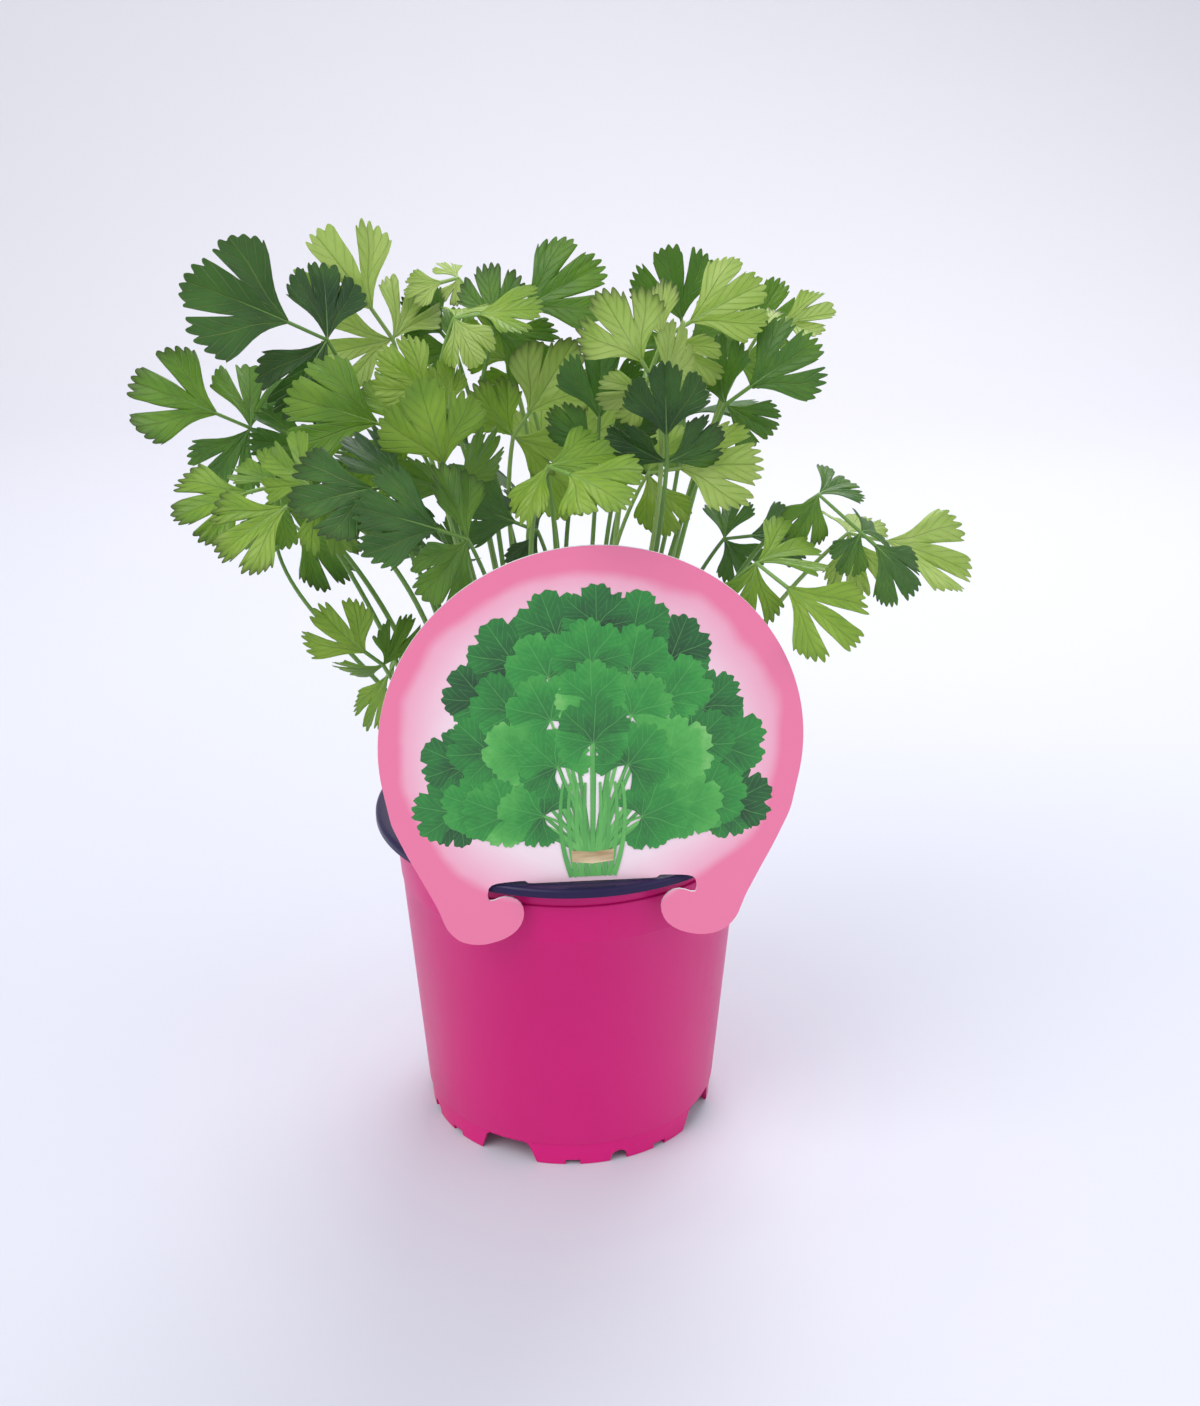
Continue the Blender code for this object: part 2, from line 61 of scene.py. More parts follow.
# Camera and studio; the studio's places are metres
CAMERA_PLACE = (10.4, -608.6, 406.1)
CAMERA_PITCH = 67.02
CAMERA_LENS = 51.21
SENSOR = 36.0
FLOOR_REACH = 3.0
BACKDROP_FOOT = 0.9
BACKDROP_BEND = 0.6
BACKDROP_TOP = 4.0
ROOM_COLOUR = (0.94, 0.94, 1.0, 1)
ROOM_LIGHT = 0.80
LIT_PLACE = (0, 0, 0.18)
LAMPS = (
    ("key", (-0.75, -0.75, 1.25), 1.0, 10.5, (1.0, 0.985, 0.96)),
    ("fill", (1.1, -0.5, 0.9), 1.2, 3.0, (0.97, 0.97, 1.0)),
    ("back", (0.25, 0.75, 1.05), 0.8, 9.0, (1.0, 1.0, 1.0)),
)

# Leafy stems, as in the part's source
SEED = 11
NEAR = 0.6
NODE_BACK = 0.2
FIRST_NODE = 0.28
SECOND_NODE = 0.40
SIDE_LEAFLET = 0.82
BACK_STEMS = 5
STALK_LOW_RADIUS = 1.15
STALK_HIGH_RADIUS = 0.62
STALK_SIDES = 14
STALK_SUNK = 6
STALK_POINTS = 40
BLADE_THICK = 0.32
BLADE_RINGS = (0.035, 0.09, 0.18, 0.30, 0.43, 0.57, 0.70, 0.82, 0.92, 1.0)
LOBE_SHARE = 0.62
MANY_TEETH = 17
FEW_TEETH = 13
DRAWS = 40
PUSHES = range(-48, 49, 4)
BOWS = (0, 7, -7, 14, -14, 21, -21, 28, -28)
BOW_NEAR = 2.0

# Greens from dark to light, and how dark the rims are
LEAF_TONES = (0.14, 0.36, 0.52, 0.66, 0.80, 0.98)
DARK_RIMS = (0.10, 0.15, 0.25, 0.25, 0.85)

# Shape of a leaflet, as shares of its length
SINUS_OF_MANY = 0.33
SINUS_OF_FEW = 0.36
SHOULDER_FALL = 0.25
SINUS_DIP = 0.06
NARROWEST_SINUS = 0.035
TOOTH_BITE = 0.085
BITE_CHANGE = 0.03
TOOTH_LEAN = 0.012
NECK_OPENING = 0.70
FULL_OPENING = 0.98
PLEAT = 0.016
PUCKER = 0.007
RIB_END = 0.55
RIB_SIDES = 6

STEMS = (
    ((-78, -13, 275), (-108, -30, 294), 60, -100, 0.45, 1),
    ((-58, 12, 272), (-75, 4, 301), 55, -80, 0.70, 1),
    ((-103, -8, 246), (-130, -16, 261), 62, -95, 0.65, 1),
    ((-90, -38, 233), (-114, -50, 230), 55, -110, 0.50, 1),
    ((-76, -58, 236), (-100, -66, 223), 50, -80, 0.60, 1),
    ((-74, 0, 234), (-98, -12, 241), 60, -90, 0.50, 1),
    ((-52, -22, 247), (-80, -34, 261), 60, -95, 0.40, 1),
    ((-52, -44, 236), (-76, -62, 237), 55, -90, 0.45, 1),
    ((-94, 34, 200), (-73, 24, 185), 50, -90, 0.55, 1),
    ((-59, -40, 180), (-73, -52, 197), 60, -120, 0.60, 1),
    ((-56, -16, 164), (-67, -24, 145), 40, -150, 0.50, 1),
    ((-37, 22, 283), (-51, 18, 280), 40, -60, 0.60, 1),
    ((-17, 8, 274), (9, 2, 292), 60, -80, 0.50, 1),
    ((-29, -12, 279), (-7, -20, 284), 30, -80, 0.45, 1),
    ((-39, 32, 262), (-50, 24, 278), 50, -90, 0.45, 1),
    ((-38, -26, 257), (-53, -36, 273), 60, -95, 0.40, 1),
    ((-35, -34, 236), (-41, -46, 264), 70, -90, 0.40, 1),
    ((-16, -8, 263), (-30, -16, 278), 50, -90, 0.45, 1),
    ((-14, 4, 242), (1, -4, 266), 60, -70, 0.40, 1),
    ((-33, -53, 224), (-56, -70, 238), 58, -90, 0.40, 1),
    ((-37, -24, 204), (-64, -30, 211), 130, -90, 0.40, 1),
    ((10, -26, 248), (11, -34, 274), 65, -85, 0.40, 1),
    ((37, 22, 267), (31, 14, 294), 65, -90, 0.55, 1),
    ((34, -12, 275), (56, -22, 291), 60, -80, 0.40, 1),
    ((56, 34, 259), (68, 30, 281), 50, -70, 0.50, 1),
    ((63, 2, 272), (81, -4, 280), 35, -60, 0.60, 1),
    ((25, -18, 263), (12, -26, 287), 65, -95, 0.45, 1),
    ((52, -24, 258), (72, -34, 276), 60, -75, 0.50, 1),
    ((30, -38, 246), (29, -48, 272), 70, -90, 0.40, 1),
    ((30, -42, 239), (57, -52, 246), 50, -70, 0.40, 1),
    ((-4, 30, 224), (20, 24, 240), 60, -80, 0.40, 1),
    ((-1, -53, 243), (17, -76, 243), 45, -80, 0.40, 1),
    ((-12, -46, 222), (-31, -58, 234), 55, -100, 0.40, 1),
    ((78, -14, 224), (111, -22, 196), 55, -60, 0.50, 2),
    ((63, -34, 205), (88, -46, 188), 60, -70, 0.70, 1),
    ((98, 10, 202), (134, 10, 194), 40, -60, 0.60, 1),
    ((58, 44, 191), (84, 50, 192), 50, -90, 0.50, 1),
)

# Pot and tag, as in the part's source
GAP = 0.3
POT_SIDES = 160
BASE_RADIUS = 49.6
WALL_FLARE = 0.081
WALL = 1.3
LIP_RADIUS = 65.0
LIP_TOP = 112.9
LIP_LOW_EDGE = 109.9
LIP_SHEET = 1.3
LIP_BEND = 1.4
NECK_LOW_EDGE = 103.1
COLLAR_LOW_EDGE = 89.8
FOOT_TOP = 8.7
STEP = 0.45
FLOOR_UNDER = 8.9
FLOOR_TOP = 10.2
DRAIN_RADIUS = 3.5
DRAIN_CIRCLE = 28.0
DRAIN_COUNT = 6
ARCH_ANGLE = -25.0
ARCH_HEIGHT = 8.0
ARCH_FOOT_WIDTH = 21.0
ARCH_TOP_WIDTH = 15.0
SLIT_ANGLES = (1.5, 38.5)
SLIT_HEIGHT = 2.0
SLIT_WIDTH = 5.0
ROUND_ANGLE = 20.0
ROUND_HEIGHT = 4.0
ROUND_WIDTH = 6.0
SOIL_TOP = 95.0
SOIL_MOUND = 1.5
SOIL_SIDES = 40
GRAIN_KINDS = (
    ("soil_crumbs", 130000.0, 0.0005, 0.0021, 3),
    ("perlite_grains", 9000.0, 0.0005, 0.0015, 8),
)
TAG_TURN = 5.6
TAG_BACK = 58.9
TAG_THICK = 0.7
TAG_SHIFT = 2.35
TAG_BASE = 100.0
PRINT_THICK = 0.0016
PRINT_GAP = 0.0022
PRINT_RINGS = (0.1, 0.35, 0.65, 0.9, 1.0)
PRINT_FOOT = (0.0, 23.0)
PRINT_TEETH = 11
PRINT_ROWS = (
    (40.0, 62.0, 11, 0.34), (33.0, 51.0, 9, 0.55), (25.0, 38.0, 7, 0.74), (15.0, 25.0, 5, 0.58),
)
PRINT_TIE = ((-6.4, 20.2), (0, 19.4), (6.4, 20.2), (6.6, 24.2), (0, 23.4), (-6.6, 24.2))
PRINT_WIDTH = 150.0
DISC_CENTRE = 58.1
DISC_RADIUS = 64.4
DISC_END_ANGLE = -10.7
TAG_SIDE = (
    (61.3, 35.0), (56.7, 24.0), (52.4, 15.0), (48.2, 6.0), (45.5, -2.0), (42.0, -6.0),
    (38.0, -7.5), (33.5, -7.7), (27.6, -6.0), (23.4, -3.0), (21.5, 1.0), (21.5, 5.0),
    (23.5, 8.0), (27.0, 9.4), (32.8, 7.0), (32.5, 12.5), (30.0, 13.8), (20.5, 14.4),
    (20.5, 13.3),
)


def vec(*parts):
    return np.array(parts, float)


def unit(v):
    return v / np.linalg.norm(v)


def polar(angle, length=1.0):
    return vec(math.cos(math.radians(angle)), math.sin(math.radians(angle)), 0) * length


def turn_about(v, axis, angle):
    c = math.cos(math.radians(angle))
    s = math.sin(math.radians(angle))
    return v * c + np.cross(axis, v) * s + axis * axis.dot(v) * (1 - c)


# Finishes
class Finish:
    """One material and short ways to add and join its nodes."""

    def __init__(self, name, colour, roughness):
        self.material = bpy.data.materials.new(name)
        self.material.use_nodes = True
        self.tree = self.material.node_tree
        self.shader = self.tree.nodes["Principled BSDF"]
        self.output = self.tree.nodes["Material Output"]
        self.shader.inputs["Base Color"].default_value = (*colour, 1)
        self.shader.inputs["Roughness"].default_value = roughness

    def node(self, kind, **settings):
        node = self.tree.nodes.new(kind)
        for key, value in settings.items():
            setattr(node, key, value)
        return node

    def join(self, source, target):
        self.tree.links.new(source, target)

    def calc(self, operation, first, second=0.0, third=0.0):
        node = self.node("ShaderNodeMath", operation=operation)
        for place, value in enumerate((first, second, third)):
            if isinstance(value, (int, float)):
                node.inputs[place].default_value = value
            else:
                self.join(value, node.inputs[place])
        return node.outputs[0]

    def noise(self, scale, detail=3.0, roughness=0.5, stretch=(1, 1, 1), source="Object"):
        place = self.node("ShaderNodeTexCoord")
        mapping = self.node("ShaderNodeMapping")
        mapping.inputs["Scale"].default_value = stretch
        self.join(place.outputs[source], mapping.inputs["Vector"])
        texture = self.node("ShaderNodeTexNoise")
        texture.inputs["Scale"].default_value = scale
        texture.inputs["Detail"].default_value = detail
        texture.inputs["Roughness"].default_value = roughness
        self.join(mapping.outputs["Vector"], texture.inputs["Vector"])
        return texture.outputs["Fac"]

    def ramp(self, factor, *stops):
        node = self.node("ShaderNodeValToRGB")
        points = node.color_ramp.elements
        while len(points) < len(stops):
            points.new(0.5)
        for point, (position, colour) in zip(points, stops):
            point.position = position
            point.color = (*colour, 1)
        self.join(factor, node.inputs["Fac"])
        return node.outputs["Color"]

    def mix(self, factor, first, second, blend="MIX"):
        node = self.node("ShaderNodeMix", data_type="RGBA", blend_type=blend)
        for socket, value in ((node.inputs[0], factor), (node.inputs[6], first),
                              (node.inputs[7], second)):
            if isinstance(value, (int, float)):
                socket.default_value = value
            elif isinstance(value, tuple):
                socket.default_value = (*value, 1)
            else:
                self.join(value, socket)
        return node.outputs[2]

    def relief(self, height, strength, distance):
        node = self.node("ShaderNodeBump")
        node.inputs["Strength"].default_value = strength
        node.inputs["Distance"].default_value = distance
        self.join(height, node.inputs["Height"])
        self.join(node.outputs["Normal"], self.shader.inputs["Normal"])
        return node.outputs["Normal"]

    def colour_from(self, socket):
        self.join(socket, self.shader.inputs["Base Color"])

    def attribute(self, name):
        return self.node("ShaderNodeAttribute", attribute_name=name).outputs["Fac"]


def blade_pattern(leaf):
    """The veins, the reach from the neck, and a wave between the side veins of a leaflet that also
    paints shade along them.
    """
    flat = leaf.node("ShaderNodeUVMap", uv_map="blade")
    apart = leaf.node("ShaderNodeSeparateXYZ")
    leaf.join(flat.outputs["UV"], apart.inputs["Vector"])
    across = leaf.calc("MULTIPLY_ADD", apart.outputs["X"], 2.0, -1.0)
    reach = apart.outputs["Y"]
    lobe = leaf.calc("ROUND", leaf.calc("DIVIDE", across, LOBE_SHARE))
    lobe = leaf.calc("MINIMUM", leaf.calc("MAXIMUM", lobe, -1.0), 1.0)
    local = leaf.calc("SUBTRACT", across, leaf.calc("MULTIPLY", lobe, LOBE_SHARE))
    off = leaf.calc("ABSOLUTE", leaf.calc("MULTIPLY", reach, local))
    width = leaf.calc("MULTIPLY_ADD", reach, -0.010, 0.017)
    main_vein = leaf.calc("SUBTRACT", 1.0, leaf.calc("DIVIDE", off, width))
    main_vein = leaf.calc("MAXIMUM", main_vein, 0.0)
    slant = leaf.calc("SUBTRACT", reach, leaf.calc("MULTIPLY", off, 1.7))
    # This wave is low at each side vein and high midway; leaf_finish uses it to paint shade along the
    # side veins
    vein_bands_and_shade = leaf.calc("PINGPONG", leaf.calc("MULTIPLY", slant, 6.5), 0.5)
    side_vein = leaf.calc("MAXIMUM", leaf.calc("MULTIPLY_ADD", vein_bands_and_shade, -9.0, 1.0), 0.0)
    from_middle = leaf.calc("MINIMUM", leaf.calc("MULTIPLY", off, 12.0), 1.0)
    side_vein = leaf.calc("MULTIPLY", side_vein, from_middle)
    veins = leaf.calc("MAXIMUM", main_vein, leaf.calc("MULTIPLY", side_vein, 0.5))
    return veins, reach, vein_bands_and_shade


def leaf_finish():
    """Leaf green with radiating veins, painted shade along the side veins, mottling, pale undersides
    and light through it.
    """
    leaf = Finish("coriander leaf", (0.10, 0.24, 0.04), 0.42)
    veins, reach, vein_bands_and_shade = blade_pattern(leaf)
    tone = leaf.attribute("tone")
    rim = leaf.attribute("rim")
    under = leaf.attribute("underside")
    mottle = leaf.noise(70.0, 4.0)
    shade = leaf.calc("MULTIPLY_ADD", leaf.calc("SUBTRACT", mottle, 0.5), 0.55, tone)
    # Painted shade: the green is darker along the side veins and paler midway between them
    shade = leaf.calc("MULTIPLY_ADD", leaf.calc("SUBTRACT", vein_bands_and_shade, 0.25), 0.10, shade)
    green = leaf.ramp(shade, (0.0, (0.012, 0.060, 0.022)), (0.26, (0.060, 0.180, 0.036)),
                      (0.50, (0.165, 0.340, 0.036)), (0.74, (0.330, 0.520, 0.060)),
                      (1.0, (0.560, 0.720, 0.210)))
    green = leaf.mix(leaf.calc("MULTIPLY", veins, 0.38), green, (0.50, 0.64, 0.24))
    edge = leaf.calc("MULTIPLY", leaf.calc("POWER", rim, 12.0), leaf.attribute("dark_rim"))
    green = leaf.mix(edge, green, (0.025, 0.035, 0.015))
    green = leaf.mix(leaf.calc("MULTIPLY", under, 0.50), green, (0.33, 0.45, 0.21))
    leaf.colour_from(green)
    leaf.join(leaf.calc("MULTIPLY_ADD", mottle, 0.25, 0.27), leaf.shader.inputs["Roughness"])
    fine = leaf.noise(420.0, 2.0)
    height = leaf.calc("MULTIPLY_ADD", veins, -0.8, leaf.calc("MULTIPLY", fine, 0.35))
    bump = leaf.relief(height, 0.65, 0.0007)
    glow = leaf.node("ShaderNodeBsdfTranslucent")
    leaf.join(leaf.mix(0.6, green, (0.46, 0.66, 0.05)), glow.inputs["Color"])
    leaf.join(bump, glow.inputs["Normal"])
    both = leaf.node("ShaderNodeMixShader")
    both.inputs["Fac"].default_value = 0.42
    leaf.join(leaf.shader.outputs[0], both.inputs[1])
    leaf.join(glow.outputs[0], both.inputs[2])
    leaf.join(both.outputs[0], leaf.output.inputs["Surface"])
    return leaf.material


def stalk_finish():
    """Pale juicy green with fine lengthwise grooves, and a little light through it."""
    stalk = Finish("leaf stalk", (0.20, 0.36, 0.07), 0.38)
    patch = stalk.noise(24.0, 3.0)
    tone = stalk.attribute("tone")
    shade = stalk.calc("MULTIPLY_ADD", patch, 0.5, stalk.calc("MULTIPLY_ADD", tone, 0.6, -0.1))
    stalk.colour_from(stalk.ramp(shade, (0.0, (0.06, 0.14, 0.03)), (0.5, (0.17, 0.33, 0.06)),
                                 (1.0, (0.38, 0.53, 0.16))))
    groove = stalk.noise(900.0, 2.0, 0.5, (1, 1, 0.04))
    stalk.relief(groove, 0.35, 0.0004)
    stalk.shader.inputs["Subsurface Weight"].default_value = 0.15
    stalk.shader.inputs["Subsurface Radius"].default_value = (0.002, 0.003, 0.001)
    return stalk.material


def plastic_finish(name, dark, light, roughness):
    """Moulded plastic with faint clouds of colour, smears and a fine grain."""
    plastic = Finish(name, light, roughness)
    patch = plastic.noise(9.0, 3.0)
    plastic.colour_from(plastic.ramp(patch, (0.35, dark), (0.65, light)))
    smear = plastic.noise(60.0, 4.0, 0.6, (1, 1, 0.3))
    plastic.join(plastic.calc("MULTIPLY_ADD", smear, 0.16, roughness - 0.08),
                 plastic.shader.inputs["Roughness"])
    grain = plastic.noise(700.0, 2.0)
    plastic.relief(grain, 0.06, 0.0002)
    plastic.shader.inputs["Specular IOR Level"].default_value = 0.3
    return plastic.material


def soil_finish():
    """Dark brown crumbs with paler bits of fibre."""
    soil = Finish("potting soil", (0.03, 0.02, 0.012), 0.95)
    crumbs = soil.noise(260.0, 6.0, 0.65)
    soil.colour_from(soil.ramp(crumbs, (0.3, (0.010, 0.006, 0.004)), (0.55, (0.045, 0.028, 0.017)),
                               (0.8, (0.12, 0.08, 0.05))))
    soil.relief(crumbs, 0.9, 0.0015)
    return soil.material


def perlite_finish():
    """Off-white grains with tiny pores."""
    perlite = Finish("perlite grain", (0.75, 0.73, 0.68), 0.85)
    pores = perlite.noise(900.0, 4.0)
    perlite.colour_from(perlite.ramp(pores, (0.3, (0.52, 0.49, 0.43)), (0.7, (0.82, 0.80, 0.75))))
    perlite.relief(pores, 0.7, 0.0004)
    return perlite.material


def tag_ground_finish():
    """The printed ground: a pink border that fades to a pale middle."""
    ground = Finish("tag print ground", (0.84, 0.26, 0.42), 0.30)
    flat = ground.node("ShaderNodeUVMap", uv_map="print")
    apart = ground.node("ShaderNodeSeparateXYZ")
    ground.join(flat.outputs["UV"], apart.inputs["Vector"])
    side = ground.calc("SUBTRACT", apart.outputs["X"], 0.5)
    up = ground.calc("SUBTRACT", apart.outputs["Y"], 0.5)
    square = ground.calc("ADD", ground.calc("MULTIPLY", side, side), ground.calc("MULTIPLY", up, up))
    clouds = ground.noise(22.0, 3.0)
    faded = ground.calc("MULTIPLY_ADD", ground.calc("SUBTRACT", clouds, 0.5), 0.10,
                        ground.calc("SQRT", square))
    ground.colour_from(ground.ramp(faded, (0.10, (0.93, 0.86, 0.88)), (0.26, (0.91, 0.74, 0.80)),
                                   (0.365, (0.88, 0.40, 0.54)), (0.385, (0.85, 0.195, 0.360))))
    ground.relief(ground.noise(1500.0, 1.0), 0.04, 0.0001)
    ground.shader.inputs["Coat Weight"].default_value = 0.25
    return ground.material


def ink_finish():
    """Printed herb leaves: flat greens with drawn veins and darker hearts."""
    ink = Finish("printed green ink", (0.03, 0.30, 0.05), 0.33)
    veins, reach = blade_pattern(ink)[:2]
    tone = ink.attribute("tone")
    patch = ink.noise(170.0, 4.0, 0.6)
    shade = ink.calc("MULTIPLY_ADD", ink.calc("SUBTRACT", patch, 0.5), 0.45, tone)
    shade = ink.calc("MULTIPLY_ADD", reach, 0.30, ink.calc("SUBTRACT", shade, 0.22))
    green = ink.ramp(shade, (0.0, (0.003, 0.030, 0.008)), (0.3, (0.008, 0.120, 0.020)),
                     (0.6, (0.020, 0.270, 0.035)), (0.85, (0.080, 0.420, 0.070)),
                     (1.0, (0.230, 0.580, 0.160)))
    ink.colour_from(ink.mix(ink.calc("MULTIPLY", veins, 0.45), green, (0.16, 0.50, 0.12)))
    ink.relief(ink.noise(900.0, 2.0), 0.05, 0.0001)
    ink.shader.inputs["Coat Weight"].default_value = 0.25
    return ink.material


def straw_finish():
    """A printed tie of straw strands."""
    straw = Finish("printed straw tie", (0.62, 0.47, 0.25), 0.4)
    strands = straw.noise(260.0, 4.0, 0.6, (0.15, 0.15, 1))
    straw.colour_from(straw.ramp(strands, (0.35, (0.33, 0.20, 0.08)), (0.65, (0.74, 0.60, 0.36))))
    straw.relief(strands, 0.08, 0.0001)
    return straw.material


def floor_finish():
    """A pale floor with painted shade: a little darker in front than at the backdrop."""
    floor = Finish("studio floor", (0.86, 0.85, 0.90), 0.62)
    patch = floor.noise(1.4, 2.0)
    # Painted shade: the front colour is darker than the backdrop colour, and the floor turns paler over
    # the first metre behind the pot
    near = floor.ramp(patch, (0.3, (0.61, 0.63, 0.71)), (0.7, (0.64, 0.66, 0.73)))
    place = floor.node("ShaderNodeTexCoord")
    apart = floor.node("ShaderNodeSeparateXYZ")
    floor.join(place.outputs["Object"], apart.inputs["Vector"])
    back = floor.calc("MULTIPLY_ADD", apart.outputs["Y"], 1.0, -0.1)
    back = floor.calc("MINIMUM", floor.calc("MAXIMUM", back, 0.0), 1.0)
    floor.colour_from(floor.mix(back, near, (0.71, 0.71, 0.75)))
    floor.relief(floor.noise(60.0, 2.0), 0.02, 0.001)
    return floor.material


# Mesh builders
def new_mesh(name, points, faces, materials, face_slots=None):
    mesh = bpy.data.meshes.new(name)
    mesh.from_pydata([tuple(p) for p in np.asarray(points, float) * MM], [], faces)
    for material in materials:
        mesh.materials.append(material)
    if face_slots is not None:
        mesh.polygons.foreach_set("material_index", face_slots)
    obj = bpy.data.objects.new(name, mesh)
    bpy.context.scene.collection.objects.link(obj)
    return obj


def outward(obj):
    """Turns the faces of each closed body outward."""
    edit = bmesh.new()
    edit.from_mesh(obj.data)
    bmesh.ops.recalc_face_normals(edit, faces=edit.faces)
    edit.to_mesh(obj.data)
    edit.free()


def soften(obj, angle):
    """Shades the faces smooth, apart from edges sharper than the angle."""
    for polygon in obj.data.polygons:
        polygon.use_smooth = True
    obj.data.set_sharp_from_angle(angle=math.radians(angle))


def set_numbers(mesh, name, values):
    layer = mesh.attributes.new(name, "FLOAT", "POINT")
    layer.data.foreach_set("value", np.asarray(values, np.float32))


def set_flat_places(mesh, name, places):
    layer = mesh.uv_layers.new(name=name)
    corner = np.zeros(len(mesh.loops), np.int32)
    mesh.loops.foreach_get("vertex_index", corner)
    layer.data.foreach_set("uv", np.asarray(places, np.float32)[corner].ravel())


def made_mesh(obj):
    """The mesh that the modifiers of this object make of it."""
    graph = bpy.context.evaluated_depsgraph_get()
    mesh = bpy.data.meshes.new_from_object(obj.evaluated_get(graph))
    obj.modifiers.clear()
    return mesh


class Gathered:
    """Closed bodies for one mesh, each with its flat places and numbers for the finish."""

    def __init__(self, *numbers):
        self.count = 0
        self.points = []
        self.faces = []
        self.slots = []
        self.flat = []
        self.numbers = {name: [] for name in numbers}

    def add(self, body, slot=0, flat=(0, 0), **given):
        """Adds one body; a number that isn't given is 0 all over it."""
        points, faces = body
        self.points.append(np.asarray(points, float))
        self.faces += [tuple(i + self.count for i in face) for face in faces]
        self.slots += [slot] * len(faces)
        self.flat.append(np.zeros((len(points), 2)) + flat)
        for name, values in self.numbers.items():
            values.append(np.zeros(len(points)) + given.get(name, 0))
        self.count += len(points)

    def piece(self, name, materials):
        obj = new_mesh(name, np.concatenate(self.points), self.faces, materials, self.slots)
        outward(obj)
        set_flat_places(obj.data, "blade", np.concatenate(self.flat))
        for number, values in self.numbers.items():
            set_numbers(obj.data, number, np.concatenate(values))
        return obj


def new_tree(name, given, result):
    """A node tree with these named inputs and one output of shapes."""
    tree = bpy.data.node_groups.new(name, "GeometryNodeTree")
    for label, kind in given:
        tree.interface.new_socket(label, in_out="INPUT", socket_type="NodeSocket" + kind)
    tree.interface.new_socket(result, in_out="OUTPUT", socket_type="NodeSocketGeometry")
    return tree


def link_all(tree, links):
    for source, given, target, taken in links:
        tree.links.new(source.outputs[given], target.inputs[taken])


def tube_tree(sides, material):
    """Turns curves into round tubes, each as thick as its points' radius."""
    tree = new_tree("stalks along curves", (("Curves", "Geometry"), ("Sides", "Int")), "Tubes")
    tree.interface.items_tree["Sides"].default_value = sides
    add = tree.nodes.new
    given = add("NodeGroupInput")
    result = add("NodeGroupOutput")
    ring = add("GeometryNodeCurvePrimitiveCircle")
    ring.inputs["Radius"].default_value = 1.0
    radius = add("GeometryNodeInputRadius")
    sweep = add("GeometryNodeCurveToMesh")
    sweep.inputs["Fill Caps"].default_value = True
    smooth = add("GeometryNodeSetShadeSmooth")
    real = add("GeometryNodeRealizeInstances")
    paint = add("GeometryNodeSetMaterial")
    paint.inputs["Material"].default_value = material
    link_all(tree, (
        (given, "Curves", sweep, "Curve"), (given, "Sides", ring, "Resolution"),
        (ring, "Curve", sweep, "Profile Curve"), (radius, "Radius", sweep, "Scale"),
        (sweep, "Mesh", smooth, "Geometry"), (smooth, "Geometry", real, "Geometry"),
        (real, "Geometry", paint, "Geometry"), (paint, "Geometry", result, "Tubes"),
    ))
    return tree


def input_name(tree, label):
    return next(item.identifier for item in tree.interface.items_tree
                if item.name == label and item.in_out == "INPUT")


def tubes_from(tree, paths, sides):
    """The tubes round several paths of (points, radii), as points and faces."""
    curve = bpy.data.curves.new("paths", "CURVE")
    curve.dimensions = "3D"
    for points, radii in paths:
        spline = curve.splines.new("POLY")
        spline.points.add(len(points) - 1)
        for place, point, radius in zip(spline.points, points, radii):
            place.co = (*(point * MM), 1)
            place.radius = radius * MM
    obj = bpy.data.objects.new("paths", curve)
    bpy.context.scene.collection.objects.link(obj)
    modifier = obj.modifiers.new("tubes", "NODES")
    modifier.node_group = tree
    modifier[input_name(tree, "Sides")] = sides
    mesh = made_mesh(obj)
    points = np.zeros(len(mesh.vertices) * 3)
    mesh.vertices.foreach_get("co", points)
    faces = [tuple(p.vertices) for p in mesh.polygons]
    bpy.data.objects.remove(obj)
    bpy.data.meshes.remove(mesh)
    return points.reshape(-1, 3) / MM, faces


# Leaves
def leaf_height(reach, turn, form):
    """How high a leaflet's face stands: it droops ahead, folds up at the sides and waves."""
    droop, fold, wave, phase = form
    side = np.abs(np.sin(turn))
    ripple = np.sin(4.2 * turn + phase)
    return fold * side * reach - droop * reach * reach + wave * ripple * reach * reach


def smooth_step(t):
    t = np.clip(t, 0, 1)
    return t * t * (3 - 2 * t)


def blade_rim(across, cut, teeth, draw):
    """How far a leaflet reaches at each place across it: lobes, deep cuts and teeth."""
    sinus = SINUS_OF_MANY if teeth == MANY_TEETH else SINUS_OF_FEW
    reach = 1.0 - SHOULDER_FALL * np.abs(across) ** 2.4
    near = np.abs(np.abs(across) - sinus)
    reach = reach * (1 - SINUS_DIP * np.exp(-((near / 0.11) ** 2)))
    open_share = NARROWEST_SINUS + 0.30 * max(cut - 0.42, 0)
    depth = cut * (0.86 + 0.14 * np.sign(across) * draw.uniform(-1, 1))
    reach = reach * (1 - depth * np.clip(1 - near / open_share, 0, 1) ** 0.75)
    place = teeth / 2 * (across + 0.02 * np.sin(5.1 * across + draw.uniform(0, 6.28)))
    beat = np.abs(np.sin(math.pi * (place + draw.uniform(-0.2, 0.2)))) ** 0.85
    bite = TOOTH_BITE + BITE_CHANGE * np.sin(7.3 * across + draw.uniform(0, 6.28))
    lean = TOOTH_LEAN * np.sin(2 * math.pi * place)
    return reach * (1 - bite * (1 - beat) + lean)


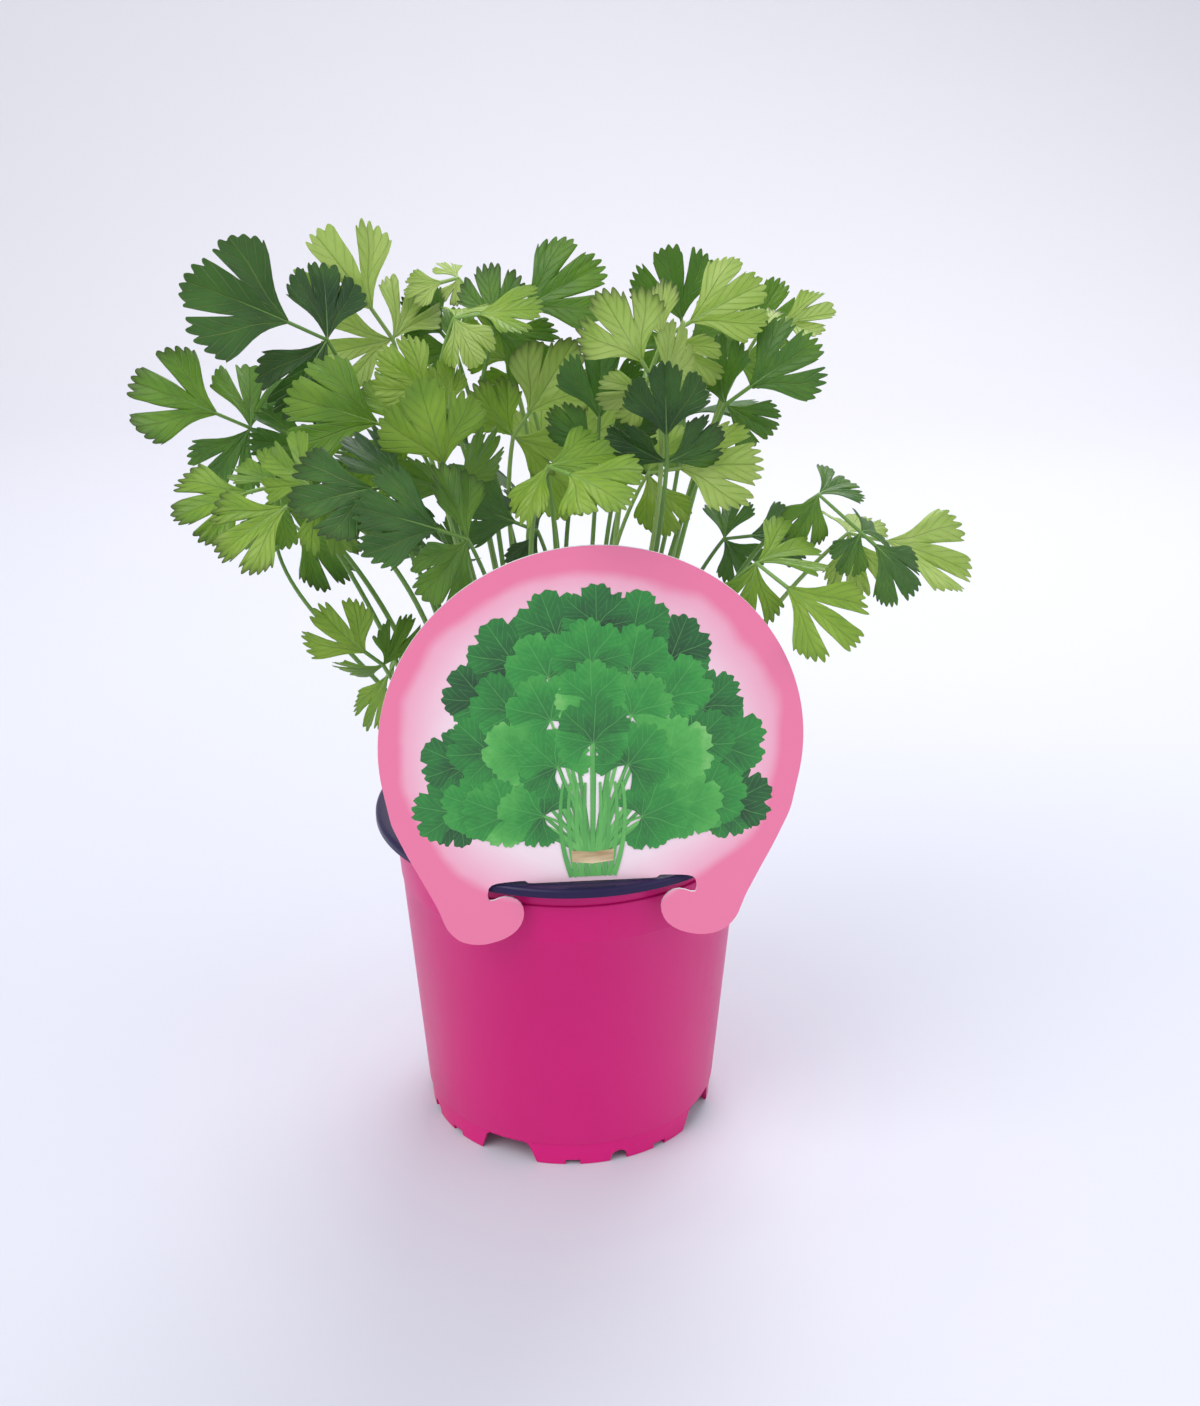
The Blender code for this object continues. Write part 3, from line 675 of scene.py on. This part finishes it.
def blade_solid(place, cut, teeth, form, spread, draw, printed=False):
    """A thin closed leaflet as a body of points and faces, and its numbers for the finish."""
    base, forward, normal, length = place
    thickness = PRINT_THICK if printed else BLADE_THICK
    columns = (3 if printed else 7) * teeth + 1
    rings = PRINT_RINGS if printed else BLADE_RINGS
    across = np.linspace(-1, 1, columns)
    rim = blade_rim(across, cut, teeth, draw)
    side_way = np.cross(normal, forward)
    share = np.array(rings)[:, None] * np.ones(columns)[None, :]
    reach = share * rim[None, :]
    widening = smooth_step((reach - 0.12) / 0.55)
    opening = NECK_OPENING + (FULL_OPENING - NECK_OPENING) * widening
    turn = math.radians(spread) * across[None, :] * opening
    pleat = -PLEAT * share * np.cos(2 * math.pi * across[None, :] / LOBE_SHARE)
    pucker = PUCKER * np.sin(across[None, :] * 23 + draw.uniform(0, 6)) * share ** 2
    frill = draw.uniform(0.01, 0.04) * np.sin(across[None, :] * 9 + draw.uniform(0, 6)) * share ** 4
    curl = draw.uniform(-0.05, 0.02) * share ** 5
    high = leaf_height(reach, turn, form) + pleat + pucker + frill + curl
    if printed:
        high = np.zeros_like(high)
    ahead = np.cos(turn) * reach
    beside = np.sin(turn) * reach
    surface = (base + (forward * ahead[..., None] + side_way * beside[..., None]
                       + normal * high[..., None]) * length)
    lift = np.cross(np.gradient(surface, axis=0), np.gradient(surface, axis=1))
    lift /= np.linalg.norm(lift, axis=2)[..., None] + 1e-12
    if (lift * normal).sum() < 0:
        lift = -lift
    thick = thickness / 2 * (1.25 - 0.75 * share ** 3)
    top = surface + lift * thick[..., None]
    low = surface - lift * thick[..., None]
    count = len(rings) * columns
    tips = [base + normal * thickness * 0.7, base - normal * thickness * 0.7]
    points = np.concatenate([top.reshape(-1, 3), low.reshape(-1, 3), tips])
    faces = []
    for r in range(len(rings) - 1):
        for c in range(columns - 1):
            a = r * columns + c
            b = a + count
            faces.append((a, a + 1, a + columns + 1, a + columns))
            faces.append((b, b + columns, b + columns + 1, b + 1))
    for c in range(columns - 1):
        faces.append((2 * count, c + 1, c))
        faces.append((2 * count + 1, count + c, count + c + 1))
    edge = [2 * count] + [r * columns for r in range(len(rings))]
    edge += [(len(rings) - 1) * columns + c for c in range(1, columns)]
    edge += [r * columns + columns - 1 for r in range(len(rings) - 2, -1, -1)]
    under = [2 * count + 1] + [e + count for e in edge[1:]]
    for k in range(len(edge)):
        after = (k + 1) % len(edge)
        faces.append((edge[k], under[k], under[after], edge[after]))
    flat = np.stack([0.5 + 0.5 * across[None, :] * np.ones_like(share), reach], -1).reshape(-1, 2)
    return (points, faces), {
        "flat": np.concatenate([flat, flat, [(0.5, 0), (0.5, 0)]]),
        "rim": np.concatenate([share.ravel(), share.ravel(), [0, 0]]),
        "underside": np.concatenate([np.zeros(count), np.ones(count), [0, 1]]),
    }


def curve_point(ends, t):
    """The place at share t along a bend drawn by its two ends and two pulls."""
    start, pull_out, pull_in, end = ends
    u = 1 - t
    return (start * u ** 3 + pull_out * 3 * u * u * t + pull_in * 3 * u * t * t
            + end * t ** 3)


def stem_layout(draw_seed, stem, root, push, bow):
    """The line of one leaf stalk and the places of its leaflets."""
    node, tip, tilt, facing, cut, pairs = stem
    draw = random.Random(draw_seed)
    node = np.array(node, float)
    tip = np.array(tip, float)
    node = node - (tip - node) * (NODE_BACK if pairs == 1 else 0)
    away = vec((node[0] - 10) / 640, 1, -0.25)
    node = node + away * push
    tip = tip + away * push
    reach = np.linalg.norm(tip - node)
    forward = unit(tip - node)
    hint = polar(facing, math.sin(math.radians(tilt))) + vec(0, 0, math.cos(math.radians(tilt)))
    normal = unit(hint - forward * hint.dot(forward))
    start = vec(root[0], root[1], SOIL_TOP + SOIL_MOUND + 2)
    chord = node - start
    run = np.linalg.norm(chord)
    beside = unit(vec(-chord[1], chord[0], 0.001))
    entry = unit(forward * 0.6 + unit(chord) * 0.6 + vec(0, 0, 0.35))
    ends = (start, start + vec(0, 0, run * 0.36) + beside * bow,
            node - entry * run * 0.34 + beside * bow, node)
    joint = node + forward * reach * (SECOND_NODE if pairs == 2 else 0)
    nodes = [node] if pairs == 1 else [node, joint]
    end_base = node + forward * reach * (FIRST_NODE if pairs < 2 else SECOND_NODE + 0.12)
    end_length = np.linalg.norm(tip - end_base)
    blades = []

    def blade(base, ahead, lift, length, spread, teeth):
        form = (draw.uniform(0.05, 0.30), draw.uniform(0.02, 0.28),
                draw.uniform(0.03, 0.10), draw.uniform(0, 6.28))
        blades.append(((base, ahead, lift, length), cut, teeth, form, spread))

    blade(end_base, forward, normal, end_length, draw.uniform(46, 56), MANY_TEETH)
    for place in nodes:
        for side in (-1, 1):
            angle = side * draw.uniform(60, 84)
            ahead = turn_about(forward, normal, angle)
            ahead = unit(ahead - normal * draw.uniform(0.05, 0.5))
            lift = unit(normal - ahead * normal.dot(ahead))
            lift = turn_about(lift, ahead, draw.uniform(-22, 22))
            length = min(end_length, 30) * SIDE_LEAFLET * draw.uniform(0.85, 1.08)
            blade(place + ahead * 0.15, ahead, lift, length, draw.uniform(43, 51), FEW_TEETH)
    return ends, end_base, forward, blades


def back_stems():
    """Stems in the back half of the pot, like those in front and spread by a fixed rule."""
    draw = random.Random(SEED)
    stems = []
    for k in range(BACK_STEMS):
        angle = 12 + 156 * ((k * 0.618 + 0.2) % 1)
        out = 31 + 20 * ((k * 0.382) % 1)
        height = 262 - 0.75 * out + draw.uniform(-14, 14)
        node = polar(angle, out) + vec(0, 0, height)
        ahead = unit(polar(angle + draw.uniform(-40, 40)) + vec(0, 0, draw.uniform(0, 0.7)))
        tip = node + ahead * draw.uniform(28, 34)
        stems.append((tuple(node), tuple(tip), 45, angle, draw.choice((0.4, 0.5)), 1))
    return stems


def node_points(name):
    """The points of one of the part's solids, in millimetres."""
    mesh = frame["nodes"][name].data
    points = np.zeros(len(mesh.vertices) * 3)
    mesh.vertices.foreach_get("co", points)
    return points.reshape(-1, 3) / MM


def distance_to(points, place):
    return np.linalg.norm(points - place, axis=1).min()


def blade_tip(blade):
    (base, ahead, lift, length), cut, teeth, form, spread = blade
    return base + (ahead + lift * leaf_height(1.0, 0.0, form)) * length


def read_setting(number, stem):
    """Finds the draw, push and bow with which the solid of this stem was set."""
    solid = node_points(f"leafy_stem_{number + 1:02d}")
    root = solid[solid[:, 2] < solid[:, 2].min() + 0.05].mean(axis=0)
    best = (99, 0, 0)
    for seed in range(SEED + 100 * number, SEED + 100 * number + DRAWS):
        for push in PUSHES:
            blades = stem_layout(seed, stem, root, push, 0)[3]
            if distance_to(solid, blade_tip(blades[0])) < NEAR:
                best = min(best, (max(distance_to(solid, blade_tip(b)) for b in blades), seed, push))
        if best[0] < NEAR:
            break
    miss, seed, push = best
    bows = []
    for bow in BOWS:
        ends = stem_layout(seed, stem, root, push, bow)[0]
        bows.append((distance_to(solid, curve_point(ends, 0.5)), bow))
    if miss > NEAR or min(bows)[0] > BOW_NEAR:
        print("stem", number + 1, "doesn't match its solid", miss, min(bows))
    return stem_layout(seed, stem, root, push, min(bows)[1]), root


def stem_piece(number, stem, tree, materials):
    """One leafy stem: its stalk, its leaflets and a raised rib under each of them."""
    name = f"leafy_stem_{number + 1:02d}"
    (ends, end_base, forward, blades), root = read_setting(number, stem)
    draw = random.Random(SEED * 7 + number)
    line = [vec(root[0], root[1], SOIL_TOP - STALK_SUNK)]
    line += [curve_point(ends, t) for t in np.linspace(0, 1, STALK_POINTS)]
    line += [end_base + forward * 1.0]
    line = np.array(line)
    wander = np.sin(np.linspace(0, draw.uniform(5, 9), len(line)))
    fade = np.sin(np.linspace(0, math.pi, len(line)))
    line[:, 0] += wander * fade * draw.uniform(-0.7, 0.7)
    radii = np.linspace(STALK_LOW_RADIUS, STALK_HIGH_RADIUS, len(line)) * draw.uniform(0.88, 1.06)
    radii[1:4] *= 1.08
    tone = draw.choice(LEAF_TONES) + draw.uniform(-0.05, 0.05)
    leafy = Gathered("rim", "underside", "tone", "dark_rim")
    leafy.add(tubes_from(tree, [(line, radii)], STALK_SIDES), 1, tone=tone)
    ribs = []
    for place, cut, teeth, form, spread in blades:
        base, ahead, lift, length = place
        body, numbers = blade_solid(place, cut, teeth, form, spread, draw)
        numbers["tone"] = np.clip(tone + draw.uniform(-0.14, 0.14), 0, 1)
        numbers["dark_rim"] = draw.choice(DARK_RIMS)
        leafy.add(body, 0, **numbers)
        steps = np.linspace(0.0, RIB_END, 8)
        rib = [base + (ahead * s + lift * leaf_height(s, 0.0, form)) * length - lift * 0.12
               for s in steps]
        ribs.append((np.array(rib), 0.48 * (1 - steps / 0.62) + 0.06))
    leafy.add(tubes_from(tree, ribs, RIB_SIDES), 1, tone=tone)
    obj = leafy.piece(f"leafy_stem_fine_{number + 1:02d}", materials)
    soften(obj, 65)
    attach(obj, "root")
    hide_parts(name)


# Pot
def outer_radius(height):
    """The tapered wall's outer radius at a height."""
    return BASE_RADIUS + WALL_FLARE * height


def turned(outline, sides):
    """A closed section turned about the pot's axis."""
    points = []
    rings = []
    for radius, height in outline:
        if radius == 0:
            rings.append([len(points)] * sides)
            points.append(vec(0, 0, height))
            continue
        rings.append(list(range(len(points), len(points) + sides)))
        for k in range(sides):
            points.append(polar(360 * k / sides, radius) + vec(0, 0, height))
    faces = []
    for low, high in zip(rings, rings[1:] + rings[:1]):
        for k in range(sides):
            around = (low[k], low[(k + 1) % sides], high[(k + 1) % sides], high[k])
            face = list(dict.fromkeys(around))
            if len(face) > 2:
                faces.append(face)
    return points, faces


def bar(outline, start, along, across, upward):
    """A straight bar with this outline for its section."""
    points = [start + across * a + upward * b for a, b in outline]
    points += [p + along for p in points]
    count = len(outline)
    faces = [list(range(count)), list(range(2 * count - 1, count - 1, -1))]
    for k in range(count):
        after = (k + 1) % count
        faces.append([k, after, after + count, k + count])
    return points, faces


def notch_shapes():
    """The outlines cut in a quarter of the foot ring, each with its angle."""
    low = -2.0
    foot = ARCH_FOOT_WIDTH / 2
    head = ARCH_TOP_WIDTH / 2
    slope = (foot - head) / ARCH_HEIGHT
    arch = [(-foot + slope * low, low), (foot - slope * low, low), (head + 0.6, ARCH_HEIGHT - 1.2),
            (head - 0.8, ARCH_HEIGHT), (0.8 - head, ARCH_HEIGHT), (-head - 0.6, ARCH_HEIGHT - 1.2)]
    half = SLIT_WIDTH / 2
    slit = [(-half, low), (half, low), (half, SLIT_HEIGHT), (-half, SLIT_HEIGHT)]
    wide = ROUND_WIDTH / 2
    straight = ROUND_HEIGHT - wide
    dome = [(-wide, low), (wide, low)]
    dome += [(wide * math.cos(a), straight + wide * math.sin(a)) for a in np.linspace(0, math.pi, 13)]
    shapes = [(ARCH_ANGLE, arch), (ROUND_ANGLE, dome)]
    shapes += [(angle, slit) for angle in SLIT_ANGLES]
    return shapes


def pot_outline():
    """The pot's section, with round bends at the lip and small radii at each step."""
    mouth = outer_radius(LIP_TOP) - WALL
    neck_top = LIP_TOP - LIP_SHEET - 0.5
    lip_inside = LIP_RADIUS - LIP_SHEET
    neck = outer_radius(NECK_LOW_EDGE)
    collar = outer_radius(COLLAR_LOW_EDGE)
    foot_top = outer_radius(FOOT_TOP)
    foot_radius = outer_radius(0) - STEP
    roll = [(LIP_RADIUS - LIP_BEND + LIP_BEND * math.cos(a),
             LIP_TOP - LIP_BEND + LIP_BEND * math.sin(a))
            for a in np.radians(np.linspace(90, 0, 7))]
    return [
        (mouth + 0.3, LIP_TOP - 2.0),
        (mouth + 0.6, LIP_TOP - 0.9),
        (mouth + 1.4, LIP_TOP - 0.3),
        (LIP_RADIUS - 3.4, LIP_TOP - 0.02),
        *roll,
        (LIP_RADIUS, LIP_LOW_EDGE + 0.25),
        (LIP_RADIUS - 0.3, LIP_LOW_EDGE),
        (lip_inside + 0.2, LIP_LOW_EDGE),
        (lip_inside, LIP_LOW_EDGE + 0.2),
        (lip_inside - 0.5, neck_top),
        (outer_radius(neck_top) - STEP, neck_top),
        (neck - STEP, NECK_LOW_EDGE + 0.35),
        (neck + GAP - 0.15, NECK_LOW_EDGE + 0.12),
        (neck + GAP, NECK_LOW_EDGE - 0.15),
        (collar + GAP, COLLAR_LOW_EDGE + 0.15),
        (collar + GAP - 0.1, COLLAR_LOW_EDGE - 0.1),
        (collar, COLLAR_LOW_EDGE - 0.4),
        (foot_top, FOOT_TOP + 0.4),
        (foot_top - 0.12, FOOT_TOP + 0.12),
        (foot_top - STEP, FOOT_TOP),
        (foot_radius, 0.3),
        (foot_radius - 0.25, 0),
        (foot_radius - WALL, 0),
        (foot_radius - WALL, FLOOR_UNDER),
        (0, FLOOR_UNDER),
        (0, FLOOR_TOP),
        (outer_radius(FLOOR_TOP) - WALL, FLOOR_TOP),
    ]


def cut_away(body, tools):
    """Takes the tools' shapes out of the body."""
    group = bpy.data.collections.new("cutters")
    bpy.context.scene.collection.children.link(group)
    for tool in tools:
        outward(tool)
        bpy.context.scene.collection.objects.unlink(tool)
        group.objects.link(tool)
    modifier = body.modifiers.new("cut", "BOOLEAN")
    modifier.operation = "DIFFERENCE"
    modifier.operand_type = "COLLECTION"
    modifier.collection = group
    modifier.solver = "EXACT"
    body.data = made_mesh(body)
    for tool in tools:
        bpy.data.objects.remove(tool)
    bpy.data.collections.remove(group)


def make_pot():
    """The pot, magenta outside and dark blue inside and on the lip."""
    outside = plastic_finish("magenta pot plastic", (0.630, 0.004, 0.170),
                             (0.690, 0.006, 0.195), 0.36)
    inside = plastic_finish("dark blue pot plastic", (0.012, 0.006, 0.048),
                            (0.020, 0.010, 0.070), 0.34)
    points, faces = turned(pot_outline(), POT_SIDES)
    pot = new_mesh("pot_fine", points, faces, [outside, inside])
    outward(pot)
    cutters = []
    inside_foot = outer_radius(0) - STEP - WALL
    for quarter in range(4):
        for angle, shape in notch_shapes():
            way = polar(angle - 90 + 90 * quarter)
            across = vec(-way[1], way[0], 0)
            piece = bar(shape, way * (inside_foot - 6), way * 14, across, vec(0, 0, 1))
            cutters.append(new_mesh("notch", *piece, [outside]))
    ring = [(math.cos(a) * DRAIN_RADIUS, math.sin(a) * DRAIN_RADIUS)
            for a in np.linspace(0, 2 * math.pi, 32, endpoint=False)]
    for k in range(DRAIN_COUNT):
        start = polar(360 * k / DRAIN_COUNT, DRAIN_CIRCLE) + vec(0, 0, FLOOR_UNDER - 2)
        piece = bar(ring, start, vec(0, 0, 6), vec(1, 0, 0), vec(0, 1, 0))
        cutters.append(new_mesh("drain", *piece, [outside]))
    cut_away(pot, cutters)
    for polygon in pot.data.polygons:
        centre = np.array(polygon.center) / MM
        far = math.hypot(centre[0], centre[1])
        wall_middle = outer_radius(centre[2]) - WALL * 0.75
        dark = centre[2] > LIP_LOW_EDGE - 0.05 and far > outer_radius(LIP_LOW_EDGE) - STEP + 0.1
        dark = dark or (far < wall_middle and centre[2] > FLOOR_UNDER + 0.1)
        polygon.material_index = 1 if dark else 0
    soften(pot, 30)
    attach(pot, "root")
    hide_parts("pot")


# Soil
def crumbs_tree():
    """Scatters one small rough grain over a surface, each turned and sized at random."""
    tree = new_tree("grains on soil", (
        ("Surface", "Geometry"), ("Density", "Float"), ("Smallest", "Float"),
        ("Largest", "Float"), ("Seed", "Int"), ("Material", "Material"),
    ), "Grains")
    add = tree.nodes.new
    given = add("NodeGroupInput")
    result = add("NodeGroupOutput")
    scatter = add("GeometryNodeDistributePointsOnFaces")
    grain = add("GeometryNodeMeshUVSphere")
    grain.inputs["Radius"].default_value = 1.0
    grain.inputs["Segments"].default_value = 7
    grain.inputs["Rings"].default_value = 5
    rough = add("ShaderNodeTexNoise")
    rough.inputs["Scale"].default_value = 1.3
    centred = add("ShaderNodeVectorMath")
    centred.operation = "SUBTRACT"
    centred.inputs[1].default_value = (0.5, 0.5, 0.5)
    shift = add("GeometryNodeSetPosition")
    put = add("GeometryNodeInstanceOnPoints")
    spin = add("FunctionNodeRandomValue")
    spin.data_type = "FLOAT_VECTOR"
    spin.inputs[1].default_value = (6.28, 6.28, 6.28)
    size = add("FunctionNodeRandomValue")
    size.data_type = "FLOAT"
    real = add("GeometryNodeRealizeInstances")
    paint = add("GeometryNodeSetMaterial")
    link_all(tree, (
        (given, "Surface", scatter, "Mesh"), (given, "Density", scatter, "Density"),
        (given, "Seed", scatter, "Seed"), (rough, "Color", centred, 0),
        (centred, 0, shift, "Offset"), (grain, "Mesh", shift, "Geometry"),
        (scatter, "Points", put, "Points"), (shift, "Geometry", put, "Instance"),
        (spin, 0, put, "Rotation"), (given, "Smallest", size, 2), (given, "Largest", size, 3),
        (given, "Seed", size, "Seed"), (size, 1, put, "Scale"),
        (put, "Instances", real, "Geometry"), (real, "Geometry", paint, "Geometry"),
        (given, "Material", paint, "Material"), (paint, "Geometry", result, "Grains"),
    ))
    return tree


def soil_surface():
    """A disc over the soil on which the grains lie."""
    wall = outer_radius(SOIL_TOP) - WALL - 2.0
    rings = np.linspace(0.04, 1, 9)
    outline_points = []
    for share in rings:
        mound = SOIL_TOP + SOIL_MOUND * (1 - share) + 0.1
        for k in range(SOIL_SIDES):
            outline_points.append(polar(360 / SOIL_SIDES * k, wall * share) + vec(0, 0, mound))
    faces = [tuple(range(SOIL_SIDES))]
    for low in range(0, SOIL_SIDES * (len(rings) - 1), SOIL_SIDES):
        high = low + SOIL_SIDES
        for k in range(SOIL_SIDES):
            after = (k + 1) % SOIL_SIDES
            faces.append((low + k, high + k, high + after, low + after))
    return outline_points, faces


def make_soil():
    """Gives the soil its finish and strews crumbs and perlite grains over it."""
    material = soil_finish()
    solid = frame["nodes"]["soil"]
    solid.data.materials.clear()
    solid.data.materials.append(material)
    tree = crumbs_tree()
    finishes = (material, perlite_finish())
    for (name, density, smallest, largest, seed), finish in zip(GRAIN_KINDS, finishes):
        points, faces = soil_surface()
        ground = new_mesh(name, points, faces, [finish])
        outward(ground)
        modifier = ground.modifiers.new("grains", "NODES")
        modifier.node_group = tree
        settings = {"Density": density, "Smallest": smallest, "Largest": largest, "Seed": seed,
                    "Material": finish}
        for label, value in settings.items():
            modifier[input_name(tree, label)] = value
        ground.data = made_mesh(ground)
        if not ground.data.materials:
            ground.data.materials.append(finish)
        outward(ground)
        soften(ground, 80)
        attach(ground, "root")


# Tag
def tag_place(h, v, lift=0.0):
    """A place before the tag's face, h across and v up from the tag's own origin."""
    way = polar(TAG_TURN - 90)
    across = vec(-way[1], way[0], 0)
    return (way * (TAG_BACK + TAG_THICK + lift) + across * (h + TAG_SHIFT)
            + vec(0, 0, TAG_BASE + v))


def rounded(outline, radius, steps=3):
    """The outline with each corner cut to a few short chords."""
    done = []
    count = len(outline)
    for k in range(count):
        before = np.array(outline[k - 1], float)
        here = np.array(outline[k], float)
        after = np.array(outline[(k + 1) % count], float)
        into = unit(before - here) * min(radius, np.linalg.norm(before - here) * 0.45)
        out = unit(after - here) * min(radius, np.linalg.norm(after - here) * 0.45)
        for t in np.linspace(0, 1, steps):
            done.append(tuple(here + into * (1 - t) ** 2 + out * t ** 2))
    return done


def tag_outline():
    """The disc's arc, then the neck, the hooked feet and the tongue between them."""
    angles = np.radians(np.linspace(DISC_END_ANGLE, 180 - DISC_END_ANGLE, 121))
    outline = [(DISC_RADIUS * math.cos(a), DISC_CENTRE + DISC_RADIUS * math.sin(a))
               for a in angles]
    corners = [(-h, v) for h, v in TAG_SIDE] + list(reversed(TAG_SIDE))
    return outline + rounded([outline[-1]] + corners + [outline[0]], 2.2)[3:-3]


def plate_piece(outline, lift, thick):
    """A flat plate in the tag's plane, from lift to lift + thick before its face."""
    points = [tag_place(h, v, lift) for h, v in outline]
    points += [tag_place(h, v, lift + thick) for h, v in outline]
    count = len(outline)
    faces = [tuple(range(count)), tuple(range(2 * count - 1, count - 1, -1))]
    for k in range(count):
        after = (k + 1) % count
        faces.append((k, after, after + count, k + count))
    return points, faces


def strip(start, end, bend, width):
    """A narrow bent strip from one place to another."""
    start = np.array(start, float)
    end = np.array(end, float)
    way = unit(end - start)
    side = np.array((-way[1], way[0]))
    middle = (start + end) / 2 + side * bend
    left = []
    right = []
    for t in np.linspace(0, 1, 13):
        place = start * (1 - t) ** 2 + middle * 2 * t * (1 - t) + end * t * t
        along = unit((middle - start) * (1 - t) + (end - middle) * t)
        beside = np.array((-along[1], along[0])) * width / 2 * (1 - 0.5 * t)
        left.append(tuple(place + beside))
        right.append(tuple(place - beside))
    return left + right[::-1]


def make_tag():
    """The tag, printed in front and plain white behind."""
    ground = tag_ground_finish()
    back = plastic_finish("white tag plastic", (0.78, 0.77, 0.79), (0.84, 0.83, 0.85), 0.4)
    outline = tag_outline()
    points, faces = plate_piece(outline, -TAG_THICK, TAG_THICK)
    tag = new_mesh("tag_fine", points, faces, [ground, back])
    outward(tag)
    flat = [(0.5 + h / PRINT_WIDTH, 0.5 + (v - DISC_CENTRE) / PRINT_WIDTH) for h, v in outline] * 2
    set_flat_places(tag.data, "print", flat)
    way = polar(TAG_TURN - 90)
    for polygon in tag.data.polygons:
        polygon.material_index = 0 if np.dot(polygon.normal, way) > 0.5 else 1
    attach(tag, "root")
    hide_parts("tag")
    make_print()


def make_print():
    """A plain symmetrical bunch of herb leaves, printed upright in the tag's middle."""
    way = polar(TAG_TURN - 90)
    across = vec(-way[1], way[0], 0)
    draw = random.Random(5)
    bunch = Gathered("tone")
    layer = 0
    foot = np.array(PRINT_FOOT)
    for wide, tall, heads, tone in PRINT_ROWS:
        shares = np.linspace(-1, 1, heads)
        for share in sorted(shares, key=lambda value: -abs(value)):
            angle = 88 * share + draw.uniform(-3, 3)
            head = foot + (wide * math.sin(math.radians(angle)),
                           12 + tall * math.cos(math.radians(angle)))
            stalk = strip(foot + (3.4 * share, 0), head, 5 * share, 1.5)
            layer += 1
            bunch.add(plate_piece(stalk, PRINT_GAP * layer, PRINT_THICK), flat=(0.5, 0.8),
                      tone=tone + 0.1)
            for turn, size in ((74, 11.5), (-74, 11.5), (0, 15.0)):
                lean = math.radians(angle * 0.8 - turn + draw.uniform(-9, 9))
                forward = across * math.sin(lean) + vec(0, 0, 1) * math.cos(lean)
                layer += 1
                place = (tag_place(head[0], head[1], PRINT_GAP * layer), forward, way,
                         size * draw.uniform(0.92, 1.1))
                body, numbers = blade_solid(place, 0.42, PRINT_TEETH, (0, 0, 0, 0), 70, draw, True)
                bunch.add(body, flat=numbers["flat"], tone=tone + draw.uniform(-0.14, 0.14))
    for k in range(9):
        share = (k - 4) / 4
        stalk = strip(foot + (6.5 * share, -8), foot + (9 * share, 24), -4 * share, 1.7)
        bunch.add(plate_piece(stalk, PRINT_GAP * (layer + 1 + k), PRINT_THICK), flat=(0.5, 0.9),
                  tone=0.55 + 0.1 * (k % 3))
    leaves = bunch.piece("printed_herb_leaves", [ink_finish()])
    tie_plate = plate_piece(PRINT_TIE, PRINT_GAP * (layer + 12), PRINT_THICK)
    tie = new_mesh("printed_tie", *tie_plate, [straw_finish()])
    outward(tie)
    for piece in (leaves, tie):
        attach(piece, "root")


# Studio
def make_studio():
    """A floor that bends up into a backdrop, three soft lamps and a pale room."""
    bend = np.linspace(0.1, math.pi / 2, 12)
    depth = np.concatenate([[-FLOOR_REACH, BACKDROP_FOOT], BACKDROP_FOOT + BACKDROP_BEND * np.sin(bend),
                            [BACKDROP_FOOT + BACKDROP_BEND]])
    rise = np.concatenate([[0, 0], BACKDROP_BEND * (1 - np.cos(bend)), [BACKDROP_TOP]])
    sides = (-FLOOR_REACH, FLOOR_REACH)
    points = [vec(x, y, z) / MM for x in sides for y, z in zip(depth, rise)]
    count = len(depth)
    faces = [(k, k + count, k + count + 1, k + 1) for k in range(count - 1)]
    floor = new_mesh("studio_floor", points, faces, [floor_finish()])
    soften(floor, 60)
    world = bpy.data.worlds.new("studio")
    bpy.context.scene.world = world
    world.use_nodes = True
    room = world.node_tree.nodes["Background"]
    room.inputs["Color"].default_value = ROOM_COLOUR
    room.inputs["Strength"].default_value = ROOM_LIGHT
    for name, place, size, power, colour in LAMPS:
        data = bpy.data.lights.new(name, "AREA")
        data.shape = "SQUARE"
        data.size = size
        data.energy = power
        data.color = colour
        lamp = bpy.data.objects.new(name, data)
        bpy.context.scene.collection.objects.link(lamp)
        way = unit(vec(*LIT_PLACE) - np.array(place))
        lamp.location = place
        lamp.rotation_mode = "QUATERNION"
        lamp.rotation_quaternion = Vector((0, 0, -1)).rotation_difference(Vector(way))


def make_camera():
    data = bpy.data.cameras.new("camera")
    data.lens = CAMERA_LENS
    data.sensor_width = SENSOR
    data.sensor_fit = "AUTO"
    data.clip_start = 0.01
    camera = bpy.data.objects.new("camera", data)
    camera.location = [c * MM for c in CAMERA_PLACE]
    camera.rotation_euler = (math.radians(CAMERA_PITCH), 0, 0)
    bpy.context.scene.collection.objects.link(camera)
    bpy.context.scene.camera = camera


for leftover in list(bpy.data.objects):
    if leftover.type in ("LIGHT", "CAMERA") or leftover.name == "Cube":
        bpy.data.objects.remove(leftover)

bpy.context.scene.view_settings.view_transform = "Standard"
make_camera()
make_studio()
make_pot()
make_soil()
make_tag()
LEAF_MATERIALS = [leaf_finish(), stalk_finish()]
TUBES = tube_tree(STALK_SIDES, LEAF_MATERIALS[1])
for index, one_stem in enumerate(list(STEMS) + back_stems()):
    stem_piece(index, one_stem, TUBES, LEAF_MATERIALS)
